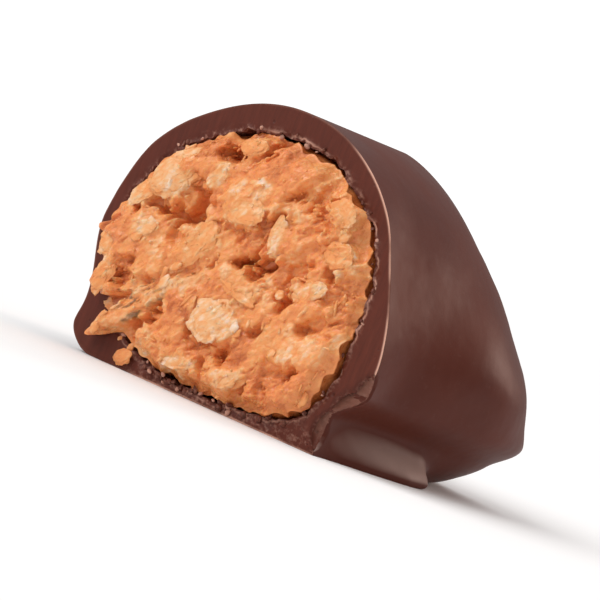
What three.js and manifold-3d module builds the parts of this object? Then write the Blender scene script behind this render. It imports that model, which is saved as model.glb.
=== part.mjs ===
// Half of a coconut candy stick: a bar of syrupy shredded coconut in a poured chocolate coat,
// cut straight across so that the coconut shows.
//
// Frame, in millimetres: Z is up from the flat base and X runs across the bar. The cut face looks
// along -Y and the bar runs back from it along +Y. The origin is in the middle of the base.
import * as THREE from 'three';
import { mergeVertices } from 'three/addons/utils/BufferGeometryUtils.js';
import Module from 'manifold-3d';

const wasm = await Module();
wasm.setup();

// ---------------------------------------------------------------- driving dimensions, mm

const cutPlaneY = -14.1;          // the cut face, seen from the middle of the base

const bar = {
  height: 23.8,                   // base to crown
  halfWidth: 14.1,                // widest half of the arch at the cut
  springHeight: 7.5,              // the arch is half an ellipse above this height
  baseLength: 26.5,               // cut to far end along the base
  crownLength: 15.5,              // cut to where the crown ends
  endRound: 1.6,                  // how late the far end starts to lean in
  endSlope: 0.65,                 // how round its shoulder is
  baseSquareness: 5.0,            // plan outline: 2 is an ellipse, more is boxier
  crownSquareness: 3.2,
  sideBlend: 12,                  // width in x over which the +X side's form turns into the -X side's
};
const waist = {                   // how the walls draw in just above the foot
  right: { depth: 2.1, top: 5.6, run: 2.6 },
  left: { depth: 1.5, top: 11, run: 7 },
};
const flare = { reach: 3.9, start: 2, run: 16, height: 8.8, spread: 6.9 };   // wider at the far end
const toe = { radius: 3.4, start: 9, run: 9 };        // rounding under the far end
const heel = { radius: 2.2, run: 0.7 };               // and under the -X side, by the bearing's cosine
// Where the coat stands out beyond the plain bar: tongues of chocolate that ran out round the
// foot, and last the fuller -X side. A bearing of 0 is +X and 90 is the far end; before and after
// are how wide each one is on either side of its bearing, in degrees.
const swellings = [
  { bearing: 41, before: 20, after: 4.5, reach: 2.9, height: 0.2, spread: 1.7 },
  { bearing: 57, before: 8, after: 12, reach: 1.95, height: 3.7, spread: 3.2 },
  { bearing: 82, before: 9, after: 9, reach: 1.6, height: 1.2, spread: 2.4 },
  { bearing: 104, before: 9, after: 9, reach: 1.1, height: 1.4, spread: 2.4 },
  { bearing: 126, before: 9, after: 11, reach: 1.8, height: 2.2, spread: 2.8 },
  { bearing: 150, before: 12, after: 10, reach: 1.2, height: 1.2, spread: 2.0 },
  { bearing: 182, before: 20, after: 20, reach: 0.4, height: 1.9, spread: 1.3 },
  { bearing: 180, before: 60, after: 60, reach: 0.8, height: 17.0, spread: 5.5 },
];
// The slight unevenness of a poured coat: waves in x, y and z that fade out below the crown.
const waves = {
  fade: 4,
  each: [
    { reach: 0.11, x: 0.31, y: -0.27, z: 0, phase: 2.07 },
    { reach: 0.11, x: 0.31, y: 0.27, z: 0, phase: -0.27 },
    { reach: 0.15, x: 0.22, y: -0.3, z: 0.43, phase: 1.7 },
    { reach: 0.10, x: 0.35, y: 0.6, z: -0.45, phase: 0.5 },
  ],
};
const baseGroove = { first: 2.2, pitch: 3.4, count: 5, width: 1.1, depth: 0.25 };
const chips = [                   // shallow breaks along the coat's lower edge at the cut
  { x: 14.4, z: 5.7, radius: 1.3 },
  { x: 13.1, z: 4.0, radius: 1.4 },
  { x: 12.3, z: 2.0, radius: 1.5 },
];

const core = {                    // the bar of coconut inside the coat
  centreX: -0.55,
  centreZ: 11.1,
  halfWidth: 11.55,
  halfHeight: 10.1,
  upper: { right: 2.2, left: 1.9 },   // section of each quarter: 2 is an ellipse, more is boxier
  lower: { right: 4.0, left: 2.3 },
  squareness: 3.0,                // plan outline, likewise
  endSquareness: 6,               // how square the far end is from top to bottom
  endWall: 2.4,                   // chocolate beyond its far end
};
const gap = 0.3;                  // between the coconut and the coat
// Coconut that the knife dragged over the coat's -X rim, below a height and beyond fromX.
const smear = { reach: 1.0, drop: 1.0, depth: 0.7, top: 12.5, fromX: -7 };

// The torn face: ridges that slant up to +X and bend, lumps across them, and a swell to the middle.
const crag = {
  slant: 52,
  ridge: 0.55,
  ridgePitch: 6.0,
  bend: 0.5,
  bendPitch: 11,
  lump: 0.4,
  lumpPitch: 7.5,
  lumpSlant: 0.4,
  lumpShift: 1.3,
  swell: 0.6,
};
const pit = { x: 1.2, z: 12.0, depth: 2.0, radius: 1.4 };

// Flakes lie on the coconut's cut face. The large ones are placed singly: x and z of the middle,
// the turn of the long side up from +X in degrees, and how far it lies in front of the cut.
const flake = {
  thickness: 0.6,
  sides: 6,
  corner: [0.8, 1.15],            // how far out its corners lie
  bend: 0.06,
};
const largeFlakes = [
  { x: -8.3, z: 16.6, length: 4.9, width: 2.6, turn: 52, front: 0.7 },
  { x: 0.0, z: 6.5, length: 3.6, width: 2.8, turn: 41, front: 1.3 },
  { x: 2.7, z: 14.2, length: 3.2, width: 1.4, turn: 95, front: 0.9 },
  { x: 7.1, z: 11.2, length: 3.0, width: 1.5, turn: 34, front: 1.0 },
  { x: -1.8, z: 2.6, length: 3.2, width: 1.7, turn: 9, front: 0.4 },
  { x: 2.9, z: 2.7, length: 2.6, width: 1.6, turn: 20, front: 0.5 },
  { x: -8.9, z: 11.0, length: 2.2, width: 1.6, turn: 26, front: 0.9 },
  { x: -4.1, z: 16.9, length: 2.6, width: 1.7, turn: 54, front: 0.7 },
  { x: -2.2, z: 19.8, length: 2.2, width: 1.5, turn: 24, front: 0.3 },
  { x: -10.2, z: 4.2, length: 4.4, width: 1.5, turn: 8, front: 0.9 },
  { x: 7.2, z: 17.6, length: 2.6, width: 2.2, turn: 5, front: 0.6 },
  { x: 8.2, z: 14.6, length: 2.7, width: 2.2, turn: -5, front: 0.7 },
  { x: -10.4, z: 13.4, length: 3.1, width: 1.9, turn: 46, front: 0.9 },
  { x: -12.1, z: 9.2, length: 3.2, width: 1.9, turn: 68, front: 0.9 },
  { x: -11.6, z: 6.2, length: 3.0, width: 1.8, turn: 75, front: 0.9 },
  { x: -3.9, z: 11.2, length: 5.0, width: 2.6, turn: 60, front: 1.0 },
  { x: -0.9, z: 15.2, length: 3.8, width: 2.6, turn: -2, front: 0.9 },
  { x: 0.8, z: 9.6, length: 5.0, width: 1.8, turn: -24, front: 0.9 },
  { x: 5.2, z: 6.6, length: 5.2, width: 1.7, turn: 61, front: 1.0 },
];
const smallFlakes = {
  count: 48,
  seed: 11,
  length: [1.6, 3.2],
  slimness: [0.45, 0.75],         // width over length
  spread: 60,                     // most it turns away from the slant of the ridges, degrees
  tilt: 35,                       // most it leans out of the cut face, degrees
  front: 0.1,                     // how far in front of the torn face it lies
  reach: 0.88,                    // how near the core's edge they come
};

// How finely the surfaces are divided.
const coatMesh = { footRows: 10, archRows: 22, eighth: 16 };   // eighth: columns in half a quarter
const coreMesh = { spokes: 44, rings: 14 };
const tornFace = { across: 22, up: 18 };
const rayLength = 45;
const raySteps = 30;
const overshoot = 2;              // how far a cutting solid runs past what it cuts
const roomy = 80;                 // wider and longer than the candy

// ---------------------------------------------------------------- helpers

const { degToRad, radToDeg, smoothstep, lerp, clamp, seededRandom } = THREE.MathUtils;
const bell = (distance, spread) => Math.exp(-((distance / spread) ** 2));

// A closed geometry as a solid for joining and cutting.
function toSolid(geometry) {
  const bare = geometry.clone();
  bare.deleteAttribute('normal');
  bare.deleteAttribute('uv');
  const merged = mergeVertices(bare, 1e-5);
  const corners = merged.index.array;
  const triangles = [];
  for (let i = 0; i < corners.length; i += 3) {
    const [a, b, c] = corners.slice(i, i + 3);
    if (a !== b && b !== c && c !== a) triangles.push(a, b, c);
  }
  return new wasm.Manifold(new wasm.Mesh({
    numProp: 3,
    vertProperties: new Float32Array(merged.attributes.position.array),
    triVerts: new Uint32Array(triangles),
  }));
}

function toGeometry(solid) {
  const mesh = solid.getMesh();
  const geometry = new THREE.BufferGeometry();
  geometry.setAttribute('position', new THREE.BufferAttribute(mesh.vertProperties, 3));
  geometry.setIndex(new THREE.BufferAttribute(mesh.triVerts, 1));
  geometry.computeVertexNormals();
  return geometry;
}

// Drops scraps that hang on nothing.
function largestPiece(solid) {
  return solid.decompose().reduce((best, piece) => (piece.volume() > best.volume() ? piece : best));
}

// A dome of unit radius about +Y, closed by a flat face in the plane y = 0.
function unitDome({ spokes, rings }) {
  const profile = [new THREE.Vector2(0, 0)];
  for (let i = 0; i <= rings; i += 1) {
    const rise = (i / rings) * Math.PI / 2;
    profile.push(new THREE.Vector2(i === rings ? 0 : Math.cos(rise), Math.sin(rise)));
  }
  return new THREE.LatheGeometry(profile, spokes);
}

// Moves each point of a unit dome out along its ray from centre, to where the form ends. Points of
// the flat face keep their share of the way to the rim.
function formFromDome(divisions, centre, isInside) {
  const dome = unitDome(divisions);
  const points = dome.attributes.position;
  const ray = new THREE.Vector3();
  const probe = new THREE.Vector3();
  const reachAlong = (direction) => {
    let [near, far] = [0, rayLength];
    for (let i = 0; i < raySteps; i += 1) {
      const middle = (near + far) / 2;
      probe.copy(centre).addScaledVector(direction, middle);
      if (isInside(probe)) near = middle;
      else far = middle;
    }
    return near;
  };
  for (let i = 0; i < points.count; i += 1) {
    ray.fromBufferAttribute(points, i);
    const share = ray.length();
    const distance = share > 0 ? share * reachAlong(ray.normalize()) : 0;
    const point = ray.multiplyScalar(distance).add(centre);
    points.setXYZ(i, point.x, point.y, point.z);
  }
  return toSolid(dome);
}

function box(width, depth, tall, x, y, z) {
  return toSolid(new THREE.BoxGeometry(width, depth, tall).translate(x, y, z));
}

// Radius of a plan outline that is boxier than an ellipse, in the direction of angle.
function planRadius(angle, acrossX, alongY, squareness) {
  const sum = Math.abs(Math.cos(angle) / acrossX) ** squareness
    + Math.abs(Math.sin(angle) / alongY) ** squareness;
  return sum ** (-1 / squareness);
}

// ---------------------------------------------------------------- the coat's outer form

// Half the plain bar's width at a height. leftShare is 1 on the -X side.
function barHalfWidth(y, z, leftShare) {
  const rise = clamp((z - bar.springHeight) / (bar.height - bar.springHeight), 0, 1);
  const arch = bar.halfWidth * Math.sqrt(Math.max(1 - rise * rise, 1e-9));
  const drawIn = ({ depth, top, run }) => depth * smoothstep((top - z) / run, 0, 1);
  const waisted = arch - lerp(drawIn(waist.right), drawIn(waist.left), leftShare);
  const widening = flare.reach * (1 - 0.5 * leftShare) * bell(z - flare.height, flare.spread);
  return waisted + widening * smoothstep((y - flare.start) / flare.run, 0, 1);
}

// How far back the bar reaches at a height: the far end leans in towards the crown.
function barLength(z) {
  const rise = clamp(z / bar.height, 0, 1);
  const lean = (1 - rise ** bar.endRound) ** bar.endSlope;
  return lerp(bar.crownLength, bar.baseLength, lean);
}

// How far the coat stands out beyond the plain bar, less the rounding under its foot.
function swellingReach(angle, y, z) {
  let reach = 0;
  for (const swelling of swellings) {
    const turned = (radToDeg(angle) - swelling.bearing + 540) % 360 - 180;
    const width = turned < 0 ? swelling.before : swelling.after;
    reach += swelling.reach * bell(turned, width) * bell(z - swelling.height, swelling.spread);
  }
  const radius = Math.max(
    toe.radius * smoothstep((y - toe.start) / toe.run, 0, 1),
    heel.radius * smoothstep(-Math.cos(angle) / heel.run, 0, 1),
  );
  const below = clamp(radius - z, 0, radius);
  return reach - (radius - Math.sqrt(radius * radius - below * below));
}

function unevenness(x, y, z) {
  const sum = waves.each.reduce((total, wave) => (
    total + wave.reach * Math.sin(wave.x * x + wave.y * y + wave.z * z + wave.phase)), 0);
  return sum * clamp((bar.height - z) / waves.fade, 0, 1);
}

// Shares of the half width and of the length round a plan outline, from +X round to -X.
function planShares(squareness) {
  const corner = 2 ** (-1 / squareness);
  const partner = (share) => (1 - share ** squareness) ** (1 / squareness);
  const steps = Array.from({ length: coatMesh.eighth }, (unused, i) => corner * i / coatMesh.eighth);
  const quarter = [
    ...steps.map((share) => [partner(share), share]),
    [corner, corner],
    ...steps.reverse().map((share) => [share, partner(share)]),
  ];
  const mirrored = quarter.slice(0, -1).reverse().map(([across, along]) => [-across, along]);
  return [...quarter, ...mirrored];
}

// Heights of the rows of points on the coat, close together at the base and at the crown.
function rowHeights() {
  const { footRows, archRows } = coatMesh;
  const foot = Array.from({ length: footRows }, (unused, j) => bar.springHeight * (j / footRows) ** 2);
  const arch = Array.from({ length: archRows + 1 }, (unused, j) => (
    lerp(bar.springHeight, bar.height, Math.sin(j / archRows * Math.PI / 2))));
  return [...foot, ...arch];
}

function coatPoint(z, across, along) {
  const y = barLength(z) * along;
  if (z >= bar.height) return [0, y, bar.height];
  const leftShare = smoothstep(0.5 - bar.halfWidth * across / bar.sideBlend, 0, 1);
  const x = barHalfWidth(y, z, leftShare) * across;
  const angle = Math.atan2(y, x);
  const reach = swellingReach(angle, y, z) + unevenness(x, y, z);
  return [x + reach * Math.cos(angle), along === 0 ? 0 : y + reach * Math.sin(angle), z];
}

// The whole form in rows from base to crown, closed by the cut face and by the base.
function coatForm() {
  const heights = rowHeights();
  const rows = heights.map((z) => {
    const squareness = lerp(bar.baseSquareness, bar.crownSquareness, z / bar.height);
    return planShares(squareness).map(([across, along]) => coatPoint(z, across, along));
  });
  const columns = rows[0].length;
  const corners = [];
  const quad = (a, b, c, d) => corners.push(a, b, c, a, c, d);
  const last = columns - 1;
  for (let j = 0; j + 1 < rows.length; j += 1) {
    const [low, high] = [j * columns, (j + 1) * columns];
    for (let i = 0; i < last; i += 1) quad(low + i, low + i + 1, high + i + 1, high + i);
    quad(low, high, high + last, low + last);
  }
  for (let i = 0; i < last / 2; i += 1) quad(i + 1, i, last - i, last - i - 1);
  const geometry = new THREE.BufferGeometry();
  geometry.setAttribute('position', new THREE.Float32BufferAttribute(rows.flat(2), 3));
  geometry.setIndex(corners);
  return toSolid(geometry);
}

// ---------------------------------------------------------------- the coconut's form

const mouthCentre = new THREE.Vector3(core.centreX, -overshoot, core.centreZ);

// The bar of coconut, grown on every side, and run out in front of the cut.
function coreSpace(grow) {
  return formFromDome(coreMesh, mouthCentre, ({ x, y, z }) => {
    const rise = Math.abs(z - core.centreZ) / (core.halfHeight + grow);
    if (rise >= 1) return false;
    const across = x - core.centreX;
    const { right, left } = z > core.centreZ ? core.upper : core.lower;
    const rounded = (power) => (1 - rise ** power) ** (1 / power);
    const halfWidth = (core.halfWidth + grow) * rounded(across > 0 ? right : left);
    const length = (overshoot + barLength(z) - core.endWall + grow) * rounded(core.endSquareness);
    const along = y + overshoot;
    const angle = Math.atan2(along, across);
    return Math.hypot(across, along) < planRadius(angle, halfWidth, length, core.squareness);
  });
}

// How far the torn coconut stands in front of the cut: slanting ridges, lumps and one deep pit,
// and the smear along its -X side.
function cragHeight(x, z) {
  const slant = degToRad(crag.slant);
  const along = x * Math.cos(slant) + z * Math.sin(slant);
  const across = x * Math.sin(slant) - z * Math.cos(slant);
  const wave = (distance, pitch) => Math.sin(2 * Math.PI * distance / pitch);
  const ridges = crag.ridge * wave(across + crag.bend * wave(along, crag.bendPitch), crag.ridgePitch);
  const lumps = crag.lump * wave(along - crag.lumpSlant * across + crag.lumpShift, crag.lumpPitch);
  const outX = (x - core.centreX) / core.halfWidth;
  const outZ = (z - core.centreZ) / core.halfHeight;
  const fromMiddle = Math.hypot(outX, outZ);
  const swell = crag.swell * (1 - Math.min(fromMiddle, 1) ** 4);
  const hollow = pit.depth * bell(Math.hypot(x - pit.x, z - pit.z), pit.radius);
  const dragged = smear.depth * smoothstep((core.centreX - x) / core.halfWidth, 0.5, 1);
  return ridges * (1 - dragged) + lumps * (1 - dragged) + swell + dragged - hollow;
}

// A block whose front is the torn face, to cut the core with.
function tornBlock() {
  const size = { across: 2.2 * core.halfWidth, back: 2 * bar.baseLength, up: 2.2 * core.halfHeight };
  const block = new THREE.BoxGeometry(size.across, size.back, size.up, tornFace.across, 1, tornFace.up);
  block.translate(core.centreX, 0, core.centreZ);
  const points = block.attributes.position;
  for (let i = 0; i < points.count; i += 1) {
    if (points.getY(i) < 0) points.setY(i, -cragHeight(points.getX(i), points.getZ(i)));
  }
  return toSolid(block);
}

// A thin uneven plate of coconut, bent along its length, lying in the plane of the cut.
function flakeSolid({ x, z, length, width, turn, front, tilt = 0, roll = 0 }) {
  const plate = new THREE.CylinderGeometry(0.5, 0.5, flake.thickness, flake.sides, 1);
  const unevenCorner = Array.from({ length: flake.sides }, () => lerp(...flake.corner, seededRandom()));
  const points = plate.attributes.position;
  for (let i = 0; i < points.count; i += 1) {
    const bearing = Math.atan2(points.getZ(i), points.getX(i)) / (2 * Math.PI) + 1;
    const corner = unevenCorner[Math.round(bearing * flake.sides) % flake.sides];
    const along = points.getX(i) * corner;
    const across = points.getZ(i) * corner;
    const bend = flake.bend * length * along * along;
    points.setXYZ(i, along * length, points.getY(i) + bend, across * width);
  }
  plate.rotateX(degToRad(tilt));
  plate.rotateZ(degToRad(roll));
  plate.rotateY(-degToRad(turn));
  plate.translate(x, -front, z);
  return toSolid(plate);
}

// Small flakes spread evenly over the cut face, along a spiral, each with its own size and lean.
function scatteredFlakes() {
  seededRandom(smallFlakes.seed);
  const between = ([least, most]) => lerp(least, most, seededRandom());
  const goldenAngle = Math.PI * (3 - Math.sqrt(5));
  return Array.from({ length: smallFlakes.count }, (unused, i) => {
    const share = smallFlakes.reach * Math.sqrt((i + 0.5) / smallFlakes.count);
    const x = core.centreX + core.halfWidth * share * Math.cos(i * goldenAngle);
    const z = core.centreZ + core.halfHeight * share * Math.sin(i * goldenAngle);
    const length = between(smallFlakes.length);
    return {
      x,
      z,
      length,
      width: length * between(smallFlakes.slimness),
      turn: crag.slant + between([-smallFlakes.spread, smallFlakes.spread]),
      tilt: between([-smallFlakes.tilt, smallFlakes.tilt]),
      roll: between([-smallFlakes.tilt, smallFlakes.tilt]),
      front: cragHeight(x, z) + smallFlakes.front,
    };
  });
}

// ---------------------------------------------------------------- the two pieces

const outerForm = coatForm();

function chocolateCoat() {
  let coat = outerForm.subtract(coreSpace(gap));
  for (const { x, z, radius } of chips) {
    const bite = new THREE.IcosahedronGeometry(radius, 1).scale(1, 0.7, 1.2).translate(x, 0, z);
    coat = coat.subtract(toSolid(bite));
  }
  for (let i = 0; i < baseGroove.count; i += 1) {
    const y = baseGroove.first + i * baseGroove.pitch;
    coat = coat.subtract(box(roomy, baseGroove.width, 2 * baseGroove.depth, 0, y, 0));
  }
  return largestPiece(coat);
}

function coconutFilling() {
  const torn = tornBlock();
  const body = coreSpace(0).intersect(torn);
  const half = roomy / 2;
  const inFront = box(roomy, roomy, roomy, smear.fromX - half, -gap - half, smear.top - half);
  const dragged = coreSpace(0).translate([-smear.reach, 0, -smear.drop]);
  const overRim = dragged.intersect(torn).intersect(inFront);
  const coatSpace = outerForm.translate([0, -gap, 0]).subtract(coreSpace(0));
  const flakes = [...largeFlakes, ...scatteredFlakes()].map(flakeSolid);
  const fused = wasm.Manifold.union(flakes).subtract(coatSpace);
  return largestPiece(body.add(overRim).add(fused));
}

function candyPiece(name, solid, colour, roughness) {
  const material = new THREE.MeshStandardMaterial({ color: colour, roughness, metalness: 0 });
  const piece = new THREE.Mesh(toGeometry(solid), material);
  piece.name = name;
  return piece;
}

const candy = new THREE.Group();
candy.add(candyPiece('chocolate_coat', chocolateCoat(), '#5e3830', 0.45));
candy.add(candyPiece('coconut_filling', coconutFilling(), '#dc8a5c', 0.6));
candy.position.set(0, cutPlaneY, 0);

export default candy;
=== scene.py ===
"""Half of a coconut candy stick: a bar of syrupy coconut in a poured milk chocolate coat, cut across.

It lies on its flat base. The cut face looks along -Y, +X runs across it and +Z is up. Shapes are
worked out in millimetres, with Y measured back from the cut, and become metres in the meshes.
"""

import math
from itertools import product

import bmesh
import bpy
import numpy as np
from mathutils import Matrix, Vector


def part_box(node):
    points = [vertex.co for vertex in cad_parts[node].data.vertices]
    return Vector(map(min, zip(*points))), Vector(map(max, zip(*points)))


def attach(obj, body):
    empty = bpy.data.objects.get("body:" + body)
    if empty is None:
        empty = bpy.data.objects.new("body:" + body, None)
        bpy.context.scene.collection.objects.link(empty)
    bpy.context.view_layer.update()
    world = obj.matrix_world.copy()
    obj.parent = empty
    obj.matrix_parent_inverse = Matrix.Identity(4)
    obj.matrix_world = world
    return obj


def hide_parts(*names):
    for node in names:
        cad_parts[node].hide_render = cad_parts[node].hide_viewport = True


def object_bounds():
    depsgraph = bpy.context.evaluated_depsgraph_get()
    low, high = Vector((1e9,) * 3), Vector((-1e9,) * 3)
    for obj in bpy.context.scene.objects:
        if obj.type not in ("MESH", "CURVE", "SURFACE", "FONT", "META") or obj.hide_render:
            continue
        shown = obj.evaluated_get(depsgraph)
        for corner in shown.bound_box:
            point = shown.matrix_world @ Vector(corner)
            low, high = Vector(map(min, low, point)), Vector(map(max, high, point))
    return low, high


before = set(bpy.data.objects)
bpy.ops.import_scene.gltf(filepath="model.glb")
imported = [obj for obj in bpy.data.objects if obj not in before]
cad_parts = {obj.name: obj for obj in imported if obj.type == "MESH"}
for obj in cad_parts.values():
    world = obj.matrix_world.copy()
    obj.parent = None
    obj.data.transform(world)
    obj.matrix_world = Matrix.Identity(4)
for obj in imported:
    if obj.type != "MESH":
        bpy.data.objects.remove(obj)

bl_info = {
    "name": "Coconut Candy Stick",
    "version": (1, 0, 0),
    "blender": (4, 5, 0),
    "location": "View3D > Sidebar > Candy",
    "description": "Builds half of a chocolate coated coconut stick on a plain stage",
    "category": "Add Mesh",
}

CAD_BOX = [list(corner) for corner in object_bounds()]
COAT_NODE = "chocolate_coat"
FILLING_NODE = "coconut_filling"
COAT_LOW, COAT_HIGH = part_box(COAT_NODE)
MM = 0.001
CUT_PLANE = COAT_LOW[1]                      # metres: the cut face, seen from the middle of the base

# ---------------------------------------------------------------- the candy's form, mm

BAR = {
    "height": COAT_HIGH[2] / MM,             # base to crown
    "half_width": 14.1,                      # widest half of the arch at the cut
    "spring_height": 7.5,                    # the arch is half an ellipse above this height
    "base_length": 26.5,                     # cut to far end along the base
    "crown_length": 15.5,                    # cut to where the crown ends
    "end_round": 1.6,                        # how late the far end starts to lean in
    "end_slope": 0.65,                       # how round its shoulder is
    "base_squareness": 5.0,                  # plan outline: 2 is an ellipse, more is boxier
    "crown_squareness": 3.2,
    "side_blend": 12.0,                      # width in x over which +X side turns into -X side
}
WAIST_RIGHT = {"depth": 2.1, "top": 5.6, "run": 2.6}     # how the walls draw in above the foot
WAIST_LEFT = {"depth": 1.5, "top": 11.0, "run": 7.0}
FLARE = {"reach": 3.9, "start": 2.0, "run": 16.0, "height": 8.8, "spread": 6.9}
TOE = {"radius": 3.4, "start": 9.0, "run": 9.0}            # rounding under the far end
HEEL = {"radius": 2.2, "run": 0.7}                         # and under the -X side
# Where chocolate ran out round the foot, and last the fuller -X side: bearing from +X and the
# widths before and after it in degrees, then reach, height and spread in mm.
SWELLINGS = (
    (41, 20, 4.5, 2.9, 0.2, 1.7),
    (57, 8, 12, 1.95, 3.7, 3.2),
    (82, 9, 9, 1.6, 1.2, 2.4),
    (104, 9, 9, 1.1, 1.4, 2.4),
    (126, 9, 11, 1.8, 2.2, 2.8),
    (150, 12, 10, 1.2, 1.2, 2.0),
    (182, 20, 20, 0.4, 1.9, 1.3),
    (180, 60, 60, 0.8, 17.0, 5.5),
)
# The slight unevenness of a poured coat: reach, pulls in x, y and z, and phase of each wave.
WAVES = (
    (0.11, 0.31, -0.27, 0.0, 2.07),
    (0.11, 0.31, 0.27, 0.0, -0.27),
    (0.15, 0.22, -0.3, 0.43, 1.7),
    (0.10, 0.35, 0.6, -0.45, 0.5),
)
WAVE_FADE = 4.0                              # they fade out over this height below the crown
# Grooves that a cooling belt left across the base, and how far in from its edge they reach full depth.
BASE_GROOVE = {"first": 2.2, "pitch": 3.4, "count": 5, "width": 1.1, "depth": 0.25, "inset": 1.2}
# Shallow breaks along the coat's lower edge at the cut: x, z and radius.
CHIPS = ((14.4, 5.7, 1.3), (13.1, 4.0, 1.4), (12.3, 2.0, 1.5))
CORE = {
    "centre_x": -0.55,
    "centre_z": 11.1,
    "half_width": 11.55,
    "half_height": 10.1,
    # Section of each quarter: 2 is an ellipse, more is boxier.
    "upper": {"right": 2.2, "left": 1.9},
    "lower": {"right": 4.0, "left": 2.3},
    "squareness": 3.0,                       # plan outline, likewise
    "end_squareness": 6.0,                   # far end seen from the side, likewise
    "end_wall": 2.4,                         # chocolate beyond its far end
    "overshoot": 2.0,                        # its middle lies this far in front of the cut
}
CORE_GAP = 0.3                               # between the coconut and the coat, deep inside
# The torn coconut's large form: ridges up to the right at a slant in degrees, lumps, a swell in the
# middle, and one deep pit.
CRAG = {"slant": 52.0, "ridge": 0.55, "ridge_pitch": 6.0, "lump": 0.4, "lump_pitch": 7.5, "swell": 0.6}
# Soft clumps, then the fine grain over everything: width, height and seed of each layer, how round
# and how deep they are, and the size, seed and strength of the noise that bends them.
CLUMPS = {"layers": ((3.9, 1.15, 61), (2.0, 0.32, 62)), "round": 0.8, "level": 0.35,
          "bend": (1.7, 51, 0.5)}
GRAIN = {"layers": ((1.0, 0.20, 64), (0.5, 0.13, 65), (0.26, 0.06, 66)), "round": 0.7, "level": 0.3,
         "bend": (0.6, 54, 0.3)}
PIT = {"x": 1.2, "z": 12.0, "depth": 2.0, "radius": 1.4}
FLAKE_SUNK = 0.22                            # how far the middle of a flake lies under the surface
CRUMB_SUNK = 0.15
# The flakes that stand out on the cut face: x, z, length, width, turn up from +X in degrees, how
# proud of the coconut round it each one stands, and how pale it is.
LARGE_FLAKES = (
    (-7.8, 15.9, 5.2, 3.0, 52, 1.1, 0.85),
    (0.0, 6.5, 4.0, 3.2, 41, 1.3, 1.00),
    (2.7, 14.2, 3.2, 1.4, 95, 0.9, 0.95),
    (7.1, 11.2, 3.0, 1.5, 34, 1.0, 0.90),
    (-1.8, 2.6, 3.2, 1.7, 9, 0.4, 0.95),
    (2.9, 2.7, 2.6, 1.6, 20, 0.5, 0.90),
    (-8.9, 11.0, 2.2, 1.6, 26, 0.9, 0.90),
    (-4.1, 16.9, 2.6, 1.7, 54, 0.7, 0.85),
    (-2.2, 19.8, 2.2, 1.5, 24, 0.3, 0.35),
    (-9.6, 4.4, 3.6, 1.5, 8, 0.6, 0.55),
    (7.2, 17.6, 2.6, 2.2, 5, 0.6, 0.65),
    (8.2, 14.6, 2.7, 2.2, -5, 0.7, 0.60),
    (-10.4, 13.4, 3.1, 1.9, 46, 0.9, 0.75),
    (-11.6, 9.2, 3.2, 1.9, 68, 0.7, 0.60),
    (-11.2, 6.2, 3.0, 1.8, 75, 0.7, 0.45),
    (-3.9, 11.2, 5.0, 2.6, 60, 1.0, 0.55),
    (-0.9, 15.2, 3.8, 2.6, -2, 0.9, 0.55),
    (0.8, 9.6, 5.0, 1.8, -24, 0.9, 0.50),
    (5.2, 6.6, 5.2, 1.7, 61, 1.0, 0.55),
)
# Where the knife dragged coconut over the -X rim, and a ragged tongue below it: bearings round the
# middle of the cut face in degrees, and lengths in mm.
LIP = {"bearing": 196, "full": 15, "fade": 9}
TONGUE = {"bearing": 222.5, "spread": 3.0, "reach": 1.9}
NOTCH = {"bearing": 214.5, "spread": 2.4, "reach": -2.2}
# Crumbs of coconut that cling to the cut chocolate: x, z, length, width, turn, how far in front of
# the cut, and how pale each one is.
LOOSE_CRUMBS = (
    (-7.3, 0.95, 1.9, 1.3, 25, 0.35, 0.35),
    (-7.0, 1.8, 0.9, 0.5, 80, 0.25, 0.45),
    (-9.9, 3.1, 0.8, 0.5, 10, 0.2, 0.5),
    (-8.3, 2.2, 0.5, 0.35, 40, 0.15, 0.4),
)
# Along the coat's foot at the cut the chocolate is torn and flecked pale, the flecks partly painted
# glints: up to this height, and from this x on.
LOW_TEAR = {"height": 2.4, "height_fade": 1.8, "from_x": -9.0, "x_fade": 4.0}
# The thin pale crinkled line, partly painted glints, where the coat tore from the coconut: the bearings
# of its two stretches, half their widths and their fades in degrees, how strong they are, and lengths
# in mm.
CRINKLE_STRETCHES = ((45, 62, 12, 1.0), (-90, 60, 15, 0.5))
CRINKLE = {"inset": 0.22, "wander": 0.10, "width": 0.07, "strength": 0.75}
# How the coconut stands at its edge, in front of the cut: behind the rim, and where it was dragged.
EDGE_HEIGHT = {"sunk": -0.35, "dragged": 0.42}

# How finely the surfaces are divided.
FOOT_ROWS = 44
ARCH_ROWS = 104
COLUMNS = 321
OUTLINE_POINTS = 500
BASE_STEPS = 56
RIM_STEPS = 24
CAVITY_RINGS = 9
FACE_CELLS = 262
CORE_RINGS = 12
RELIEF_CELL = 0.06                           # mm
RELIEF_SPAN = {"x": (-16.0, 14.5), "z": (-1.0, 24.0)}


# ---------------------------------------------------------------- small helpers


def linear_colour(code):
    """An sRGB hex colour such as #5e3830 as linear red, green, blue and alpha."""
    channels = [int(code[i:i + 2], 16) / 255 for i in (1, 3, 5)]
    return [c / 12.92 if c <= 0.04045 else ((c + 0.055) / 1.055) ** 2.4 for c in channels] + [1.0]


def add_node(tree, kind, settings=(), inputs=()):
    """Adds a node, sets its properties, and sets or links its inputs by name or number."""
    node = tree.nodes.new(kind)
    for name, value in dict(settings).items():
        setattr(node, name, value)
    for socket, value in dict(inputs).items():
        if isinstance(value, bpy.types.NodeSocket):
            tree.links.new(value, node.inputs[socket])
        else:
            node.inputs[socket].default_value = value
    return node


def bell(distance, spread):
    """1 at no distance, falling smoothly to 0 beyond the spread."""
    return np.exp(-((distance / spread) ** 2))


def smoothstep(share):
    """0 to 1 without a corner at either end."""
    share = np.clip(share, 0.0, 1.0)
    return share * share * (3.0 - 2.0 * share)


def lerp(start, end, share):
    return start + (end - start) * share


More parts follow.
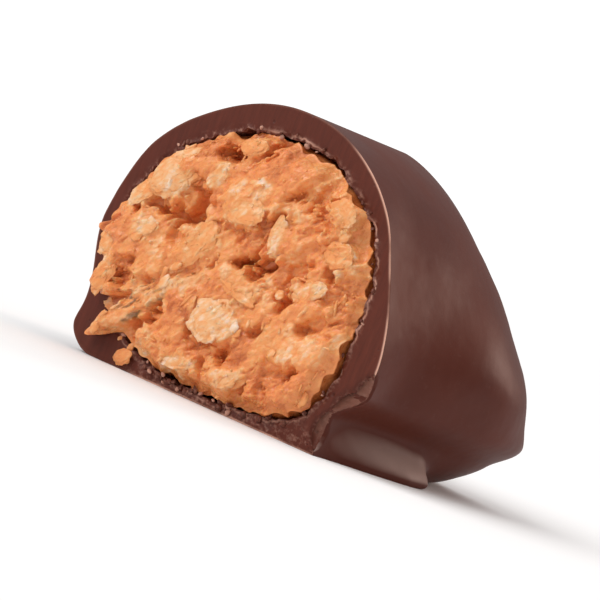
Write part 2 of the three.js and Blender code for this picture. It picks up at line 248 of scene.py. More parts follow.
def lattice_noise(points, size, seed):
    """Smooth noise from -1 to 1 at an array of points, with features about size mm wide."""
    cells = np.asarray(points) / size + 31.7
    base = np.floor(cells).astype(np.int64)
    part = cells - base
    weight = part ** 3 * (part * (part * 6 - 15) + 10)
    total = np.zeros(base.shape[:-1])
    for corner in product((0, 1), repeat=base.shape[-1]):
        share = np.ones_like(total)
        mixed = np.full(total.shape, seed * 374761393, dtype=np.int64)
        for axis, step in enumerate(corner):
            share = share * (weight[..., axis] if step else 1 - weight[..., axis])
            mixed = mixed ^ ((base[..., axis] + step) * (73856093, 19349663, 83492791)[axis])
        mixed = (mixed ^ (mixed >> 13)) * 1274126177 & 0x7FFFFFFF
        total += share * (mixed / 0x3FFFFFFF - 1.0)
    return total


def layered_noise(points, size, seed, layers=3):
    """Noise with finer and fainter layers on top of each other."""
    return sum(lattice_noise(points, size / 2 ** k, seed + k) / 2 ** k for k in range(layers))


def grid_faces(numbers):
    """The quads between the neighbours in a two-dimensional array of point numbers."""
    quads = np.stack([numbers[:-1, :-1], numbers[1:, :-1], numbers[1:, 1:], numbers[:-1, 1:]], axis=-1)
    return quads.reshape(-1, 4)


def ring_faces(rings):
    """The quads between closed rings, one ring of point numbers to a row."""
    return grid_faces(np.concatenate([rings, rings[:, :1]], axis=1))


def solid_piece(name, points, face_sets, marks, materials):
    """A closed mesh piece. Points are in mm with Y from the cut; face_sets has one array for each
    material; marks are named numbers, one for each point."""
    metres = points * MM + np.array([0.0, CUT_PLANE, 0.0])
    mesh = bpy.data.meshes.new(name)
    faces = np.concatenate(face_sets)
    mesh.from_pydata(metres.tolist(), [], faces.tolist())
    slots = np.concatenate([np.full(len(part), slot) for slot, part in enumerate(face_sets)])
    mesh.polygons.foreach_set("material_index", slots.astype(np.int32))
    for mark, values in marks.items():
        layer = mesh.attributes.new(mark, 'FLOAT', 'POINT')
        layer.data.foreach_set("value", np.asarray(values, dtype=np.float32))
    body = bmesh.new()
    body.from_mesh(mesh)
    bmesh.ops.remove_doubles(body, verts=body.verts, dist=0.0003 * MM)
    bmesh.ops.recalc_face_normals(body, faces=body.faces)
    open_edges = sum(1 for edge in body.edges if not edge.is_manifold)
    body.to_mesh(mesh)
    body.free()
    if open_edges:
        raise RuntimeError(f"{name} isn't closed: {open_edges} open edges")
    mesh.shade_smooth()
    for material in materials:
        mesh.materials.append(material)
    piece = bpy.data.objects.new(name, mesh)
    bpy.context.scene.collection.objects.link(piece)
    return piece


# ---------------------------------------------------------------- the coat's outer form


def bar_half_width(y, z, left_share):
    """Half the bar's width: an arch over a waist, wider towards the far end."""
    rise = np.clip((z - BAR["spring_height"]) / (BAR["height"] - BAR["spring_height"]), 0, 1)
    arch = BAR["half_width"] * np.sqrt(np.maximum(1 - rise * rise, 0))
    right, left = (waist["depth"] * smoothstep((waist["top"] - z) / waist["run"])
                   for waist in (WAIST_RIGHT, WAIST_LEFT))
    widening = FLARE["reach"] * (1 - 0.5 * left_share) * bell(z - FLARE["height"], FLARE["spread"])
    widening = widening * smoothstep((y - FLARE["start"]) / FLARE["run"])
    return arch - lerp(right, left, left_share) + widening


def bar_length(z):
    """From the cut to the far end at a height."""
    rise = np.clip(z / BAR["height"], 0, 1)
    lean = (1 - rise ** BAR["end_round"]) ** BAR["end_slope"]
    return lerp(BAR["crown_length"], BAR["base_length"], lean)


def swelling_reach(angle, y, z):
    """How far the swellings push the surface out, less the rounding under its edge."""
    reach = 0.0
    for bearing, before, after, most, height, spread in SWELLINGS:
        turned = (np.degrees(angle) - bearing + 540) % 360 - 180
        sideways = bell(turned, np.where(turned < 0, before, after))
        reach = reach + most * sideways * bell(z - height, spread)
    radius = np.maximum(TOE["radius"] * smoothstep((y - TOE["start"]) / TOE["run"]),
                        HEEL["radius"] * smoothstep(-np.cos(angle) / HEEL["run"]))
    radius = np.maximum(radius, 1e-6)
    below = np.clip(radius - z, 0, radius)
    return reach - (radius - np.sqrt(radius * radius - below * below))


def unevenness(x, y, z):
    """The slow waves of the poured coat."""
    return sum(reach * np.sin(kx * x + ky * y + kz * z + phase) for reach, kx, ky, kz, phase in WAVES)


def plan_shares(squareness):
    """Shares of the half width and of the length round a plan outline, from +X round to -X."""
    q = np.linspace(0, 1, OUTLINE_POINTS)[None, :] * 2 ** (-1 / squareness)
    partner = (1 - q ** squareness) ** (1 / squareness)
    across = np.concatenate([partner, q[:, -2::-1]], axis=1)
    along = np.concatenate([q, partner[:, -2::-1]], axis=1)
    return (np.concatenate([across, -across[:, -2::-1]], axis=1),
            np.concatenate([along, along[:, -2::-1]], axis=1))


def coat_outer(settings):
    """The coat's outer surface as rows from base to crown of points from +X round the far end."""
    foot = BAR["spring_height"] * np.linspace(0, 1, FOOT_ROWS, endpoint=False) ** 2
    turn = np.linspace(0, math.pi / 2, ARCH_ROWS + 1)
    arch = BAR["spring_height"] + (BAR["height"] - BAR["spring_height"]) * np.sin(turn)
    z = np.concatenate([foot, arch])[:, None]
    share = np.clip(z / BAR["height"], 0, 1)
    across, along = plan_shares(lerp(BAR["base_squareness"], BAR["crown_squareness"], share))
    y = bar_length(z) * along
    left_share = smoothstep(0.5 - BAR["half_width"] * across / BAR["side_blend"])
    x = bar_half_width(y, z, left_share) * across
    angle = np.arctan2(y, x)
    fade = np.clip((BAR["height"] - z) / WAVE_FADE, 0, 1)
    reach = swelling_reach(angle, y, z) + unevenness(x, y, z) * fade
    fine = layered_noise(np.stack([x, y, z + 0 * x], axis=-1), 3.4, 5)
    reach = reach + settings.pour_unevenness / MM * fine * fade
    x, y = x + reach * np.cos(angle), y + reach * np.sin(angle)
    x[-1], y[-1] = 0.0, (bar_length(z) * along)[-1]
    # Evenly spaced columns, closer together beside the cut.
    near_cut = np.minimum(np.arange(COLUMNS - 1), np.arange(COLUMNS - 1)[::-1])
    steps = 1 - 0.7 * bell(near_cut, 5.0)
    shares = np.concatenate([[0], np.cumsum(steps)]) / steps.sum()
    rows = []
    for row_x, row_y, row_z in zip(x, y, z[:, 0]):
        run = np.concatenate([[0], np.cumsum(np.hypot(np.diff(row_x), np.diff(row_y)))])
        place = shares * run[-1]
        rows.append(np.stack([np.interp(place, run, row_x), np.interp(place, run, row_y),
                              np.full(COLUMNS, row_z)], axis=-1))
    outer = np.array(rows)
    bevel = settings.edge_bevel / MM
    outer[..., 1] += bevel * np.exp(-outer[..., 1] / (10 * bevel))
    # The crown closes along a line, so its points lie in pairs.
    outer[-1, COLUMNS // 2 + 1:, 1] = outer[-1, :COLUMNS // 2, 1][::-1]
    return outer


def bite(points, directions, x, z, radius):
    """Moves the points that a chip took away onto the hollow that it left."""
    centre = np.array([x, 0.0, z])
    radii = np.array([radius, 0.7 * radius, 1.2 * radius])
    start = (points - centre) / radii
    step = directions / radii
    a = np.sum(step * step, axis=-1)
    b = np.sum(start * step, axis=-1)
    c = np.sum(start * start, axis=-1) - 1
    travel = (-b + np.sqrt(np.maximum(b * b - a * c, 0))) / a
    travel = np.where(c < 0, travel, 0.0)
    return points + directions * travel[..., None], c < 0


def core_reach(turn, lift, grow):
    """How far the space for the coconut reaches from its middle, turn round the cut face from +X
    and lift back from it, both in radians."""
    level = np.cos(lift)
    directions = np.stack([np.cos(turn) * level, np.sin(lift), np.sin(turn) * level], axis=-1)
    near, far = np.zeros(turn.shape), np.full(turn.shape, 45.0)
    for _ in range(34):
        middle = (near + far) / 2
        x, y, z = np.moveaxis(directions * middle[..., None], -1, 0)
        rise = np.minimum(np.abs(z) / (CORE["half_height"] + grow), 1)
        upper, lower = (np.where(x > 0, CORE[part]["right"], CORE[part]["left"])
                        for part in ("upper", "lower"))
        roundness = np.where(z > 0, upper, lower)
        half_width = (CORE["half_width"] + grow) * (1 - rise ** roundness) ** (1 / roundness)
        height = np.clip(z + CORE["centre_z"], 0, BAR["height"])
        length = CORE["overshoot"] + bar_length(height) - CORE["end_wall"] + grow
        length = length * (1 - rise ** CORE["end_squareness"]) ** (1 / CORE["end_squareness"])
        sides = np.abs(x / np.maximum(half_width, 1e-6)) ** CORE["squareness"]
        ends = np.abs(y / np.maximum(length, 1e-6)) ** CORE["squareness"]
        inside = (rise < 1) & (sides + ends < 1)
        near, far = np.where(inside, middle, near), np.where(inside, far, middle)
    return directions * near[..., None] + mouth_centre()


def mouth_centre():
    """The middle that the coconut's space is measured from, in front of the cut."""
    return np.array([CORE["centre_x"], -CORE["overshoot"], CORE["centre_z"]])


def cavity_outline(turn, grow=CORE_GAP):
    """Points of the cavity's edge in the plane of the cut, at each turn from +X."""
    lift = np.zeros_like(turn)
    for _ in range(4):
        edge = core_reach(turn, lift, grow) - mouth_centre()
        lift = np.arctan2(CORE["overshoot"], np.hypot(edge[..., 0], edge[..., 2]))
    edge = core_reach(turn, lift, grow)
    edge[..., 1] = 0.0
    return edge


def core_turn(points):
    """The turn from +X of points round the middle of the cut face."""
    return np.arctan2(points[..., 2] - CORE["centre_z"], points[..., 0] - CORE["centre_x"])


def core_rings(edge, rings, grow):
    """Rings of points from a ring at the cut back to the far end of the coconut's space."""
    away = edge - mouth_centre()
    turn = np.arctan2(away[:, 2], away[:, 0])
    lift = np.arctan2(np.maximum(away[:, 1], 0), np.hypot(away[:, 0], away[:, 2]))
    shares = np.linspace(0, 1, rings + 1)[1:, None]
    lifts = lerp(lift[None, :], math.pi / 2, shares ** 0.8)
    reached = core_reach(np.broadcast_to(turn, lifts.shape), lifts, grow)
    reached[-1] = reached[-1].mean(axis=0)
    return reached


# ---------------------------------------------------------------- the coat


def coat_mesh(settings):
    """Points, face sets (poured, cut, underside) and marks of the coat."""
    outer = coat_outer(settings)
    rows, columns = outer.shape[:2]
    bevel = settings.edge_bevel / MM
    numbers = np.arange(rows * columns).reshape(rows, columns)

    # The underside: lines across from each point of the +X half of the foot to its partner.
    half = columns // 2
    right, left = outer[0, :half + 1], outer[0, ::-1][:half + 1]
    shares = np.linspace(0, 1, BASE_STEPS + 1)[None, :, None]
    under = lerp(right[:, None, :], left[:, None, :], shares)
    inset = np.minimum(shares[..., 0], 1 - shares[..., 0]) * np.hypot(*(right - left)[:, :2].T)[:, None]
    lift = np.zeros(under.shape[:2])
    for k in range(BASE_GROOVE["count"]):
        middle = BASE_GROOVE["first"] + k * BASE_GROOVE["pitch"]
        from_middle = (under[..., 1] - middle) / (0.5 * BASE_GROOVE["width"])
        lift += BASE_GROOVE["depth"] * np.exp(-from_middle ** 4)
    under[..., 2] += lift * smoothstep(inset / BASE_GROOVE["inset"])
    under_numbers = outer.size // 3 + np.arange(under.size // 3).reshape(under.shape[:2])

    # The ring of points round the cut, from the +X foot over the crown, down and back along the base.
    side_right, side_left = outer[:, 0], outer[::-1, -1][1:]
    base_line = under[0, ::-1][1:-1]
    ring = np.concatenate([side_right, side_left, base_line])
    ring_numbers = np.concatenate([numbers[:, 0], numbers[::-1, -1][1:], under_numbers[0, ::-1][1:-1]])
    tangent = np.roll(ring, -2, axis=0) - np.roll(ring, 2, axis=0)
    inward = np.stack([-tangent[:, 2], 0 * tangent[:, 0], tangent[:, 0]], axis=-1)
    inward /= np.maximum(np.linalg.norm(inward, axis=-1, keepdims=True), 1e-9)
    start = ring + inward * bevel
    start[:, 1] = 0.0
    edge = cavity_outline(core_turn(start))
    shares = 0.5 - 0.5 * np.cos(math.pi * np.linspace(0, 1, RIM_STEPS + 1)[:, None, None])
    rim = lerp(start[None], edge[None], shares)
    from_outer = np.linalg.norm(rim - start[None], axis=-1)
    from_inner = np.linalg.norm(rim - edge[None], axis=-1)

    # The knife left the face almost flat: faint drag lines, and a crumbly edge round the coconut.
    low = smoothstep((LOW_TEAR["height"] - rim[..., 2]) / LOW_TEAR["height_fade"])
    low = low * smoothstep((rim[..., 0] - LOW_TEAR["from_x"]) / LOW_TEAR["x_fade"])
    torn = np.clip(bell(from_inner, settings.torn_width / MM) + 0.6 * low, 0, 1)
    drag = lattice_noise(rim * np.array([2.6, 1, 0.35]), 1.0, 21)
    crinkle = layered_noise(rim + np.array([0, 40, 0]), 0.9, 33)
    rim[..., 1] += 0.025 * drag + settings.torn_depth / MM * torn * (0.35 + crinkle)
    rim[0, :, 1] = np.maximum(rim[0, :, 1], 0.0)
    ripple = layered_noise(rim + np.array([0, 80, 0]), 1.3, 51)
    inner_shift = 0.22 * ripple[-1] + 0.12 * layered_noise(rim[-1] + 9, 0.5, 52)
    towards = (start - edge) / np.linalg.norm(start - edge, axis=-1, keepdims=True)
    pull = bell(from_inner, 0.5)[..., None] * (np.maximum(inner_shift, -0.25)[None, :, None])
    rim += towards[None] * pull
    rim_numbers = under_numbers[-1, -1] + 1 + np.arange(rim.size // 3).reshape(rim.shape[:2])

    # The inside wall, back to the far end of the coconut.
    wall_edge = rim[-1] + np.array([0, 0.25, 0])
    wall = core_rings(wall_edge, CAVITY_RINGS, CORE_GAP)
    wall_numbers = rim_numbers[-1, -1] + 1 + np.arange(wall.size // 3).reshape(wall.shape[:2])

    # The chips push the poured side inwards and the cut face back, fanning out from their edge.
    sideways = np.zeros_like(outer)
    sideways[..., 0] = -1.0
    sideways[..., 1] = 0.25 * 0.85 ** np.arange(columns)
    backwards = np.zeros_like(rim)
    backwards[..., 0] = -0.3 * 0.8 ** np.arange(RIM_STEPS + 1)[:, None]
    backwards[..., 1] = 1.0
    broken = np.zeros(len(ring))
    for x, z, radius in CHIPS:
        outer, _ = bite(outer, sideways, x, z, radius)
        rim, bitten = bite(rim, backwards, x, z, radius)
        torn = np.maximum(torn, 0.4 * bitten)
        broken = np.maximum(broken, bitten[0])

    # Where the knife scraped the edge of the coat pale, with a painted glint along it: down the +X side
    # and along the base.
    right_side = smoothstep((start[:, 0] - 3.0) / 5.0) * smoothstep((start[:, 2] - 0.5) / 2.0)
    along_base = smoothstep((1.0 - start[:, 2]) / 0.8) * smoothstep((start[:, 0] + 9.0) / 6.0)
    patches = smoothstep(0.75 + 0.6 * layered_noise(start, 3.0, 61))
    scraped_with_glint = np.clip(right_side + 0.8 * along_base, 0.12, 1) * patches * (1 - 0.85 * broken)
    rim_scraped_with_glint = scraped_with_glint[None] * bell(from_outer, settings.glint_scrape_width / MM)

    # A thin pale crinkled line where the coat tore from the coconut, over the top and down +X: crinkled
    # chocolate, and painted glints along it.
    bearing = np.degrees(core_turn(start))
    crinkle_glint_share = sum(strength * smoothstep((half - np.abs(bearing - middle)) / fade)
                   for middle, half, fade, strength in CRINKLE_STRETCHES)
    wander = CRINKLE["inset"] + CRINKLE["wander"] * layered_noise(start, 0.8, 67)
    broken_up = smoothstep(0.6 + 1.1 * layered_noise(start, 1.8, 68))
    line = bell(from_inner - wander[None], CRINKLE["width"])
    rim_scraped_with_glint += CRINKLE["strength"] * (crinkle_glint_share * broken_up)[None] * line
    rim_scraped_with_glint = np.clip(rim_scraped_with_glint, 0, 1)

    points = np.concatenate([part.reshape(-1, 3) for part in (outer, under, rim, wall)])
    poured = grid_faces(numbers)
    underside = grid_faces(under_numbers)
    loops = np.concatenate([ring_numbers[None], rim_numbers, wall_numbers])
    marks = {"scraped_with_glint": np.zeros(len(points)), "torn": np.zeros(len(points))}
    marks["scraped_with_glint"][rim_numbers] = rim_scraped_with_glint
    marks["scraped_with_glint"][ring_numbers] = scraped_with_glint
    marks["torn"][rim_numbers] = torn
    return points, [poured, ring_faces(loops), underside], marks


# ---------------------------------------------------------------- the coconut's relief


def wave(distance, pitch):
    return np.sin(2 * math.pi * distance / pitch)


def crag_height(x, z):
    """The torn face's large form in front of the cut, at x and z."""
    slant = math.radians(CRAG["slant"])
    along = x * math.cos(slant) + z * math.sin(slant)
    across = x * math.sin(slant) - z * math.cos(slant)
    ridges = CRAG["ridge"] * wave(across + 0.5 * wave(along, 11), CRAG["ridge_pitch"])
    lumps = CRAG["lump"] * wave(along - 0.4 * across + 1.3, CRAG["lump_pitch"])
    out_x = (x - CORE["centre_x"]) / CORE["half_width"]
    out_z = (z - CORE["centre_z"]) / CORE["half_height"]
    swell = CRAG["swell"] * (1 - np.minimum(np.hypot(out_x, out_z), 1) ** 4)
    hollow = PIT["depth"] * bell(np.hypot(x - PIT["x"], z - PIT["z"]), PIT["radius"])
    return ridges + lumps + swell - hollow


class Relief:
    """The height of the torn coconut in front of the cut, and how pale it is, over the cut face."""

    def __init__(self):
        self.low_x, self.low_z = RELIEF_SPAN["x"][0], RELIEF_SPAN["z"][0]
        across = np.arange(*RELIEF_SPAN["x"], RELIEF_CELL)
        up = np.arange(*RELIEF_SPAN["z"], RELIEF_CELL)
        self.x, self.z = np.meshgrid(across, up, indexing="ij")
        self.ragged = self.drawn_noise(0.8, 41) + 0.6 * self.drawn_noise(0.36, 42)
        self.fibres = self.drawn_noise(0.5, 71)
        self.height = crag_height(self.x, self.z) - 0.5 + self.humps(CLUMPS)
        self.tone = 0.50 + 0.09 * self.drawn_noise(4.5, 3) + 0.06 * self.drawn_noise(1.6, 4)

    def drawn_noise(self, size, seed, shift=0.0):
        """Noise drawn out along the slant of the ridges."""
        slant = math.radians(CRAG["slant"])
        along = self.x * math.cos(slant) + self.z * math.sin(slant)
        across = self.x * math.sin(slant) - self.z * math.cos(slant)
        return layered_noise(np.stack([along / 1.5 + shift, across + shift], axis=-1), size, seed)

    def humps(self, kind):
        """Rounded humps packed side by side, of several sizes, with sharp creases between them."""
        size, seed, share = kind["bend"]
        bend = share * self.drawn_noise(size, seed)
        total = 0.0
        for size, height, seed in kind["layers"]:
            layer = np.abs(self.drawn_noise(size, seed, bend)) ** kind["round"]
            total = total + height * (layer - kind["level"])
        return total

    def at(self, values, x, z):
        """Values between the cells of the relief."""
        i = np.clip((x - self.low_x) / RELIEF_CELL, 0, values.shape[0] - 1.001)
        j = np.clip((z - self.low_z) / RELIEF_CELL, 0, values.shape[1] - 1.001)
        i0, j0 = i.astype(int), j.astype(int)
        u, v = i - i0, j - j0
        near = lerp(values[i0, j0], values[i0 + 1, j0], u)
        return lerp(near, lerp(values[i0, j0 + 1], values[i0 + 1, j0 + 1], u), v)

    def press(self, x, z, length, width, turn, thick, tone, lean=0.0):
        """Lays one flake or clump on the relief, torn at its edge and leaning one way."""
        reach = 0.8 * length
        i0, i1 = (int((x + side * reach - self.low_x) / RELIEF_CELL) for side in (-1, 1))
        j0, j1 = (int((z + side * reach - self.low_z) / RELIEF_CELL) for side in (-1, 1))
        if i0 < 0 or j0 < 0 or i1 >= self.x.shape[0] or j1 >= self.x.shape[1]:
            return
        window = (slice(i0, i1 + 1), slice(j0, j1 + 1))
        dx, dz = self.x[window] - x, self.z[window] - z
        along = (dx * math.cos(turn) + dz * math.sin(turn)) / (0.5 * length)
        across = (dz * math.cos(turn) - dx * math.sin(turn)) / (0.5 * width)
        torn = 0.42 * self.ragged[window]
        out = (np.abs(along) ** 2.2 + np.abs(across) ** 2.2) ** 0.45 * (1 + torn)
        middle = self.height[(i0 + i1) // 2, (j0 + j1) // 2]
        base = lerp(middle, float(np.mean(self.height[window])), 0.6)
        edge = np.clip(1 - np.maximum(out, 0) ** 4.5, 0, 1) ** 0.5
        top = base + lean * across * 0.5 * width + thick * edge + 0.07 * self.fibres[window]
        wins = (out < 1) & (top > self.height[window])
        self.height[window] = np.where(wins, top, self.height[window])
        # Painted shade: each flake is made darker towards its edge, where it meets the coconut round
        # it.
        edge_shaded_tone = tone - 0.10 * np.clip(out, 0, 1) ** 3
        self.tone[window] = np.where(wins, edge_shaded_tone, self.tone[window])


def blurred(values, cells):
    """Values averaged over a square of cells, twice."""
    for axis in (0, 1, 0, 1):
        margins = [(cells + 1, cells) if side == axis else (0, 0) for side in (0, 1)]
        padded = np.pad(values, margins, mode="edge")
        total = np.cumsum(padded, axis=axis)
        size = 2 * cells + 1
        after = np.take(total, np.arange(size, total.shape[axis]), axis=axis)
        before = np.take(total, np.arange(0, total.shape[axis] - size), axis=axis)
        values = (after - before) / size
    return values


def pressed_relief(settings):
    """The relief with clumps and flakes pressed into it, largest first."""
    relief = Relief()
    draws = np.random.default_rng(settings.seed)
    slant = math.radians(CRAG["slant"])
    kinds = (
        # count, length, slimness, thickness, share of pale ones, spread of turn
        (settings.clump_count, (2.4, 5.0), (0.35, 0.65), (0.6, 1.2), 0.06, 0.3),
        (settings.chunk_count, (1.2, 2.8), (0.35, 0.7), (0.15, 0.45), 0.10, 0.5),
        (settings.fleck_count, (0.5, 1.1), (0.4, 0.9), (0.06, 0.16), 0.05, 1.0),
    )
    for kind, (count, lengths, slimness, thickness, pale_share, spread) in enumerate(kinds):
        if kind == 2:
            for x, z, length, width, turn, front, paleness in LARGE_FLAKES:
                relief.press(x, z, length, width, math.radians(turn), 0.3 + 0.4 * front,
                             0.42 + 0.36 * paleness, lean=0.12)
        for _ in range(count):
            x = draws.uniform(-14.0, 12.0)
            z = draws.uniform(0.8, 22.2)
            length = draws.uniform(*lengths)
            around = float(relief.at(relief.tone, np.array(x), np.array(z)))
            pale = draws.random() < pale_share
            tone = around + draws.normal(0.0, 0.07) + (draws.uniform(0.08, 0.22) if pale else 0.0)
            width, turn = length * draws.uniform(*slimness), slant + spread * draws.normal()
            relief.press(x, z, length, width, turn, draws.uniform(*thickness), lerp(0.5, tone, 0.92),
                         lean=draws.uniform(-0.3, 0.3))
    # Syrup closes the narrow pits; fine grain lies over everything.
    relief.height = np.maximum(relief.height, blurred(relief.height, 5) - 0.10)
    relief.height = lerp(relief.height, blurred(relief.height, 1), 0.7) + relief.humps(GRAIN)
    relief.tone = np.minimum(blurred(relief.tone, 2), 0.84)
    over = np.maximum(relief.height - settings.proud_limit / MM, 0)
    relief.height = relief.height - 0.6 * over
    # How deep each place lies in a narrow or a wide hollow. The coconut is coloured deeper there, for
    # syrup gathered in it and as painted shade.
    narrow = np.clip((blurred(relief.height, 4) - relief.height - 0.06) / 0.3, 0, 1)
    wide = np.clip((blurred(relief.height, 16) - relief.height - 0.2) / 0.9, 0, 1)
    relief.hollow = np.clip(0.45 * narrow + 0.6 * wide, 0, 1)
    # Painted light: what stands out is made paler than what lies deep, as lit tops over shaded hollows.
    painted_light_by_height = np.clip((relief.height - blurred(relief.height, 14)) / 0.4, -0.6, 1)
    relief.tone = relief.tone + 0.09 * painted_light_by_height
    return relief


# ---------------------------------------------------------------- the filling


def turned_from(turn, bearing):
    """How far each turn lies from a bearing, in degrees."""
    return np.abs((np.degrees(turn) - bearing + 540) % 360 - 180)


def lip_share(turn):
    """1 where the knife dragged coconut over the coat, on the -X side; 0 elsewhere."""
    dragged = smoothstep((LIP["full"] + LIP["fade"] - turned_from(turn, LIP["bearing"])) / LIP["fade"])
    on_tongue = bell(turned_from(turn, TONGUE["bearing"]), TONGUE["spread"])
    return np.maximum(dragged, smoothstep(2 * on_tongue))


def filling_mesh(settings, relief):
    """Points, face sets and marks of the coconut: the torn face, then rings back to the far end."""
    steps = np.linspace(-1, 1, FACE_CELLS + 1)
    u, v = np.meshgrid(steps, steps, indexing="ij")
    a, b = u * np.sqrt(1 - v * v / 2), v * np.sqrt(1 - u * u / 2)
    turn, out = np.arctan2(b, a), np.minimum(np.hypot(a, b), 1)

    lip = lip_share(turn)
    along = np.stack([np.cos(turn), np.sin(turn)], axis=-1) * 11.0
    ragged = lattice_noise(along, 1.5, 81) + 0.6 * lattice_noise(along, 0.7, 82)
    dragged = settings.smear_reach / MM * (0.75 + 0.9 * ragged)
    for part in (TONGUE, NOTCH):
        dragged = dragged + part["reach"] * bell(turned_from(turn, part["bearing"]), part["spread"])
    reach = lerp(-0.05 - 0.5 * np.abs(ragged), dragged, lip)
    edge = cavity_outline(turn.ravel()).reshape(turn.shape + (3,)) - mouth_centre()
    span = np.hypot(edge[..., 0], edge[..., 2])
    place = (span + reach) * out
    x = CORE["centre_x"] + place * np.cos(turn)
    z = CORE["centre_z"] + place * np.sin(turn)
    height = relief.at(relief.height, x, z)
    hollow = relief.at(relief.hollow, x, z)
    tone = relief.at(relief.tone, x, z)

    # Near its edge the coconut sinks behind the rim, or stands on it where it was dragged over.
    from_edge = place / np.maximum(out, 1e-6) - place
    rim_height = lerp(EDGE_HEIGHT["sunk"] + 0.25 * ragged, EDGE_HEIGHT["dragged"] + 0.2 * ragged, lip)
    near_edge = bell(from_edge, lerp(0.75, 0.9, lip))
    kept = 0.35 * (height - crag_height(x, z) + 0.2)
    height = lerp(height, rim_height + kept, near_edge)
    height = np.where((lip > 0.3) & (out > 0.7), np.maximum(height, 0.3 * lip), height)
    face = np.stack([x, -height, z], axis=-1)
    face_numbers = np.arange(x.size).reshape(x.shape)

    ring_numbers = np.concatenate([face_numbers[:-1, 0], face_numbers[-1, :-1],
                                   face_numbers[:0:-1, -1], face_numbers[0, :0:-1]])
    ring = face.reshape(-1, 3)[ring_numbers]
    ring_turn = core_turn(ring)
    ring_lip = lip_share(ring_turn)
    middle = mouth_centre() * np.array([1, 0, 1])
    wall = cavity_outline(ring_turn, CORE_GAP - 0.05)
    turned_under = ring.copy()
    on_rim = ring_lip > 0.3
    turned_under[:, 1] = np.where(on_rim, np.minimum(ring[:, 1] + 0.25, -0.03), ring[:, 1] + 0.15)
    turned_in = np.where(on_rim[:, None], wall, ring * np.array([1, 0, 1]))
    turned_in = lerp(middle, turned_in, 0.995)
    turned_in[:, 1] = np.where(on_rim, -0.02, turned_under[:, 1] + 0.15)
    neck = lerp(middle, wall, 0.985)
    neck[:, 1] = np.maximum(turned_in[:, 1] + 0.5, 0.6)
    back = core_rings(neck, CORE_RINGS, CORE_GAP - 0.05)
    rings = np.concatenate([turned_under[None], turned_in[None], neck[None], back])
    back_numbers = x.size + np.arange(rings.size // 3).reshape(rings.shape[:2])

    points = np.concatenate([face.reshape(-1, 3), rings.reshape(-1, 3)])
    loops = np.concatenate([ring_numbers[None], back_numbers])
    faces = np.concatenate([grid_faces(face_numbers), ring_faces(loops)])
    count = rings.size // 3
    # The hollow mark deepens the colour for syrup and as painted shade; the hidden back gets a deep
    # one.
    marks = {
        "tone": np.concatenate([tone.ravel(), np.full(count, 0.3)]),
        "hollow": np.concatenate([hollow.ravel(), np.full(count, 0.8)]),
        "torn_face": np.concatenate([smoothstep((0.985 - out.ravel()) / 0.03), np.zeros(count)]),
    }
    return points, [faces], marks


# ---------------------------------------------------------------- pieces grown by Geometry Nodes


def new_tree(name, inputs):
    """A Geometry Nodes tree with a mesh input and named inputs: name, socket type and default."""
    tree = bpy.data.node_groups.new(name, "GeometryNodeTree")
    tree.is_modifier = True
    tree.interface.new_socket("Geometry", in_out='INPUT', socket_type="NodeSocketGeometry")
    for label, kind, default in inputs:
        socket = tree.interface.new_socket(label, in_out='INPUT', socket_type=kind)
        if default is not None:
            socket.default_value = default
    tree.interface.new_socket("Geometry", in_out='OUTPUT', socket_type="NodeSocketGeometry")
    return tree, add_node(tree, "NodeGroupInput").outputs


def close_tree(tree, geometry, material):
    """Realizes the instances, gives them their material and ends the tree."""
    real = add_node(tree, "GeometryNodeRealizeInstances", inputs={"Geometry": geometry})
    smooth = add_node(tree, "GeometryNodeSetShadeSmooth", inputs={"Geometry": real.outputs[0]})
    coloured = add_node(tree, "GeometryNodeSetMaterial",
                        inputs={"Geometry": smooth.outputs[0], "Material": material})
    add_node(tree, "NodeGroupOutput", inputs={"Geometry": coloured.outputs[0]})


def grown_piece(name, source, tree, values):
    """Runs a tree on a copy of a mesh and keeps the result as a plain mesh piece."""
    carrier = bpy.data.objects.new(name, source)
    bpy.context.scene.collection.objects.link(carrier)
    modifier = carrier.modifiers.new("Growth", 'NODES')
    modifier.node_group = tree
    for item in tree.interface.items_tree:
        if item.item_type == 'SOCKET' and item.in_out == 'INPUT' and item.name in values:
            modifier[item.identifier] = values[item.name]
    depsgraph = bpy.context.evaluated_depsgraph_get()
    result = bpy.data.meshes.new_from_object(carrier.evaluated_get(depsgraph),
                                             preserve_all_data_layers=True, depsgraph=depsgraph)
    if not result.polygons:
        raise RuntimeError(f"{name} came out empty")
    result.name = name
    carrier.modifiers.remove(modifier)
    carrier.data = result
    return carrier


def rugged_ball(tree, faces_level, seed, stretch, roughness, detail=1.0):
    """An irregular lump one unit across: a ball pushed in and out by noise, then stretched."""
    ball = add_node(tree, "GeometryNodeMeshIcoSphere", inputs={
        "Radius": 0.5, "Subdivisions": faces_level})
    position = add_node(tree, "GeometryNodeInputPosition").outputs[0]
    moved = add_node(tree, "ShaderNodeVectorMath", {"operation": 'ADD'},
                     {0: position, 1: (seed * 7.3, 2.1, 5.5)})
    noise = add_node(tree, "ShaderNodeTexNoise", inputs={
        "Vector": moved.outputs[0], "Scale": 2.2, "Detail": detail, "Roughness": 0.6})
    centred = add_node(tree, "ShaderNodeVectorMath", {"operation": 'SUBTRACT'},
                       {0: noise.outputs["Color"], 1: (0.5, 0.5, 0.5)})
    push = add_node(tree, "ShaderNodeVectorMath", {"operation": 'SCALE'},
                    {0: centred.outputs[0], "Scale": roughness})
    pushed = add_node(tree, "GeometryNodeSetPosition",
                      inputs={"Geometry": ball.outputs["Mesh"], "Offset": push.outputs[0]})
    shaped = add_node(tree, "GeometryNodeTransform",
                      inputs={"Geometry": pushed.outputs[0], "Scale": stretch})
    return shaped.outputs[0]


def variants(tree, shapes):
    """Several shapes as instances, for Instance on Points to pick from."""
    pool = add_node(tree, "GeometryNodeGeometryToInstance")
    for shape in shapes:
        tree.links.new(shape, pool.inputs[0])
    return pool.outputs[0]


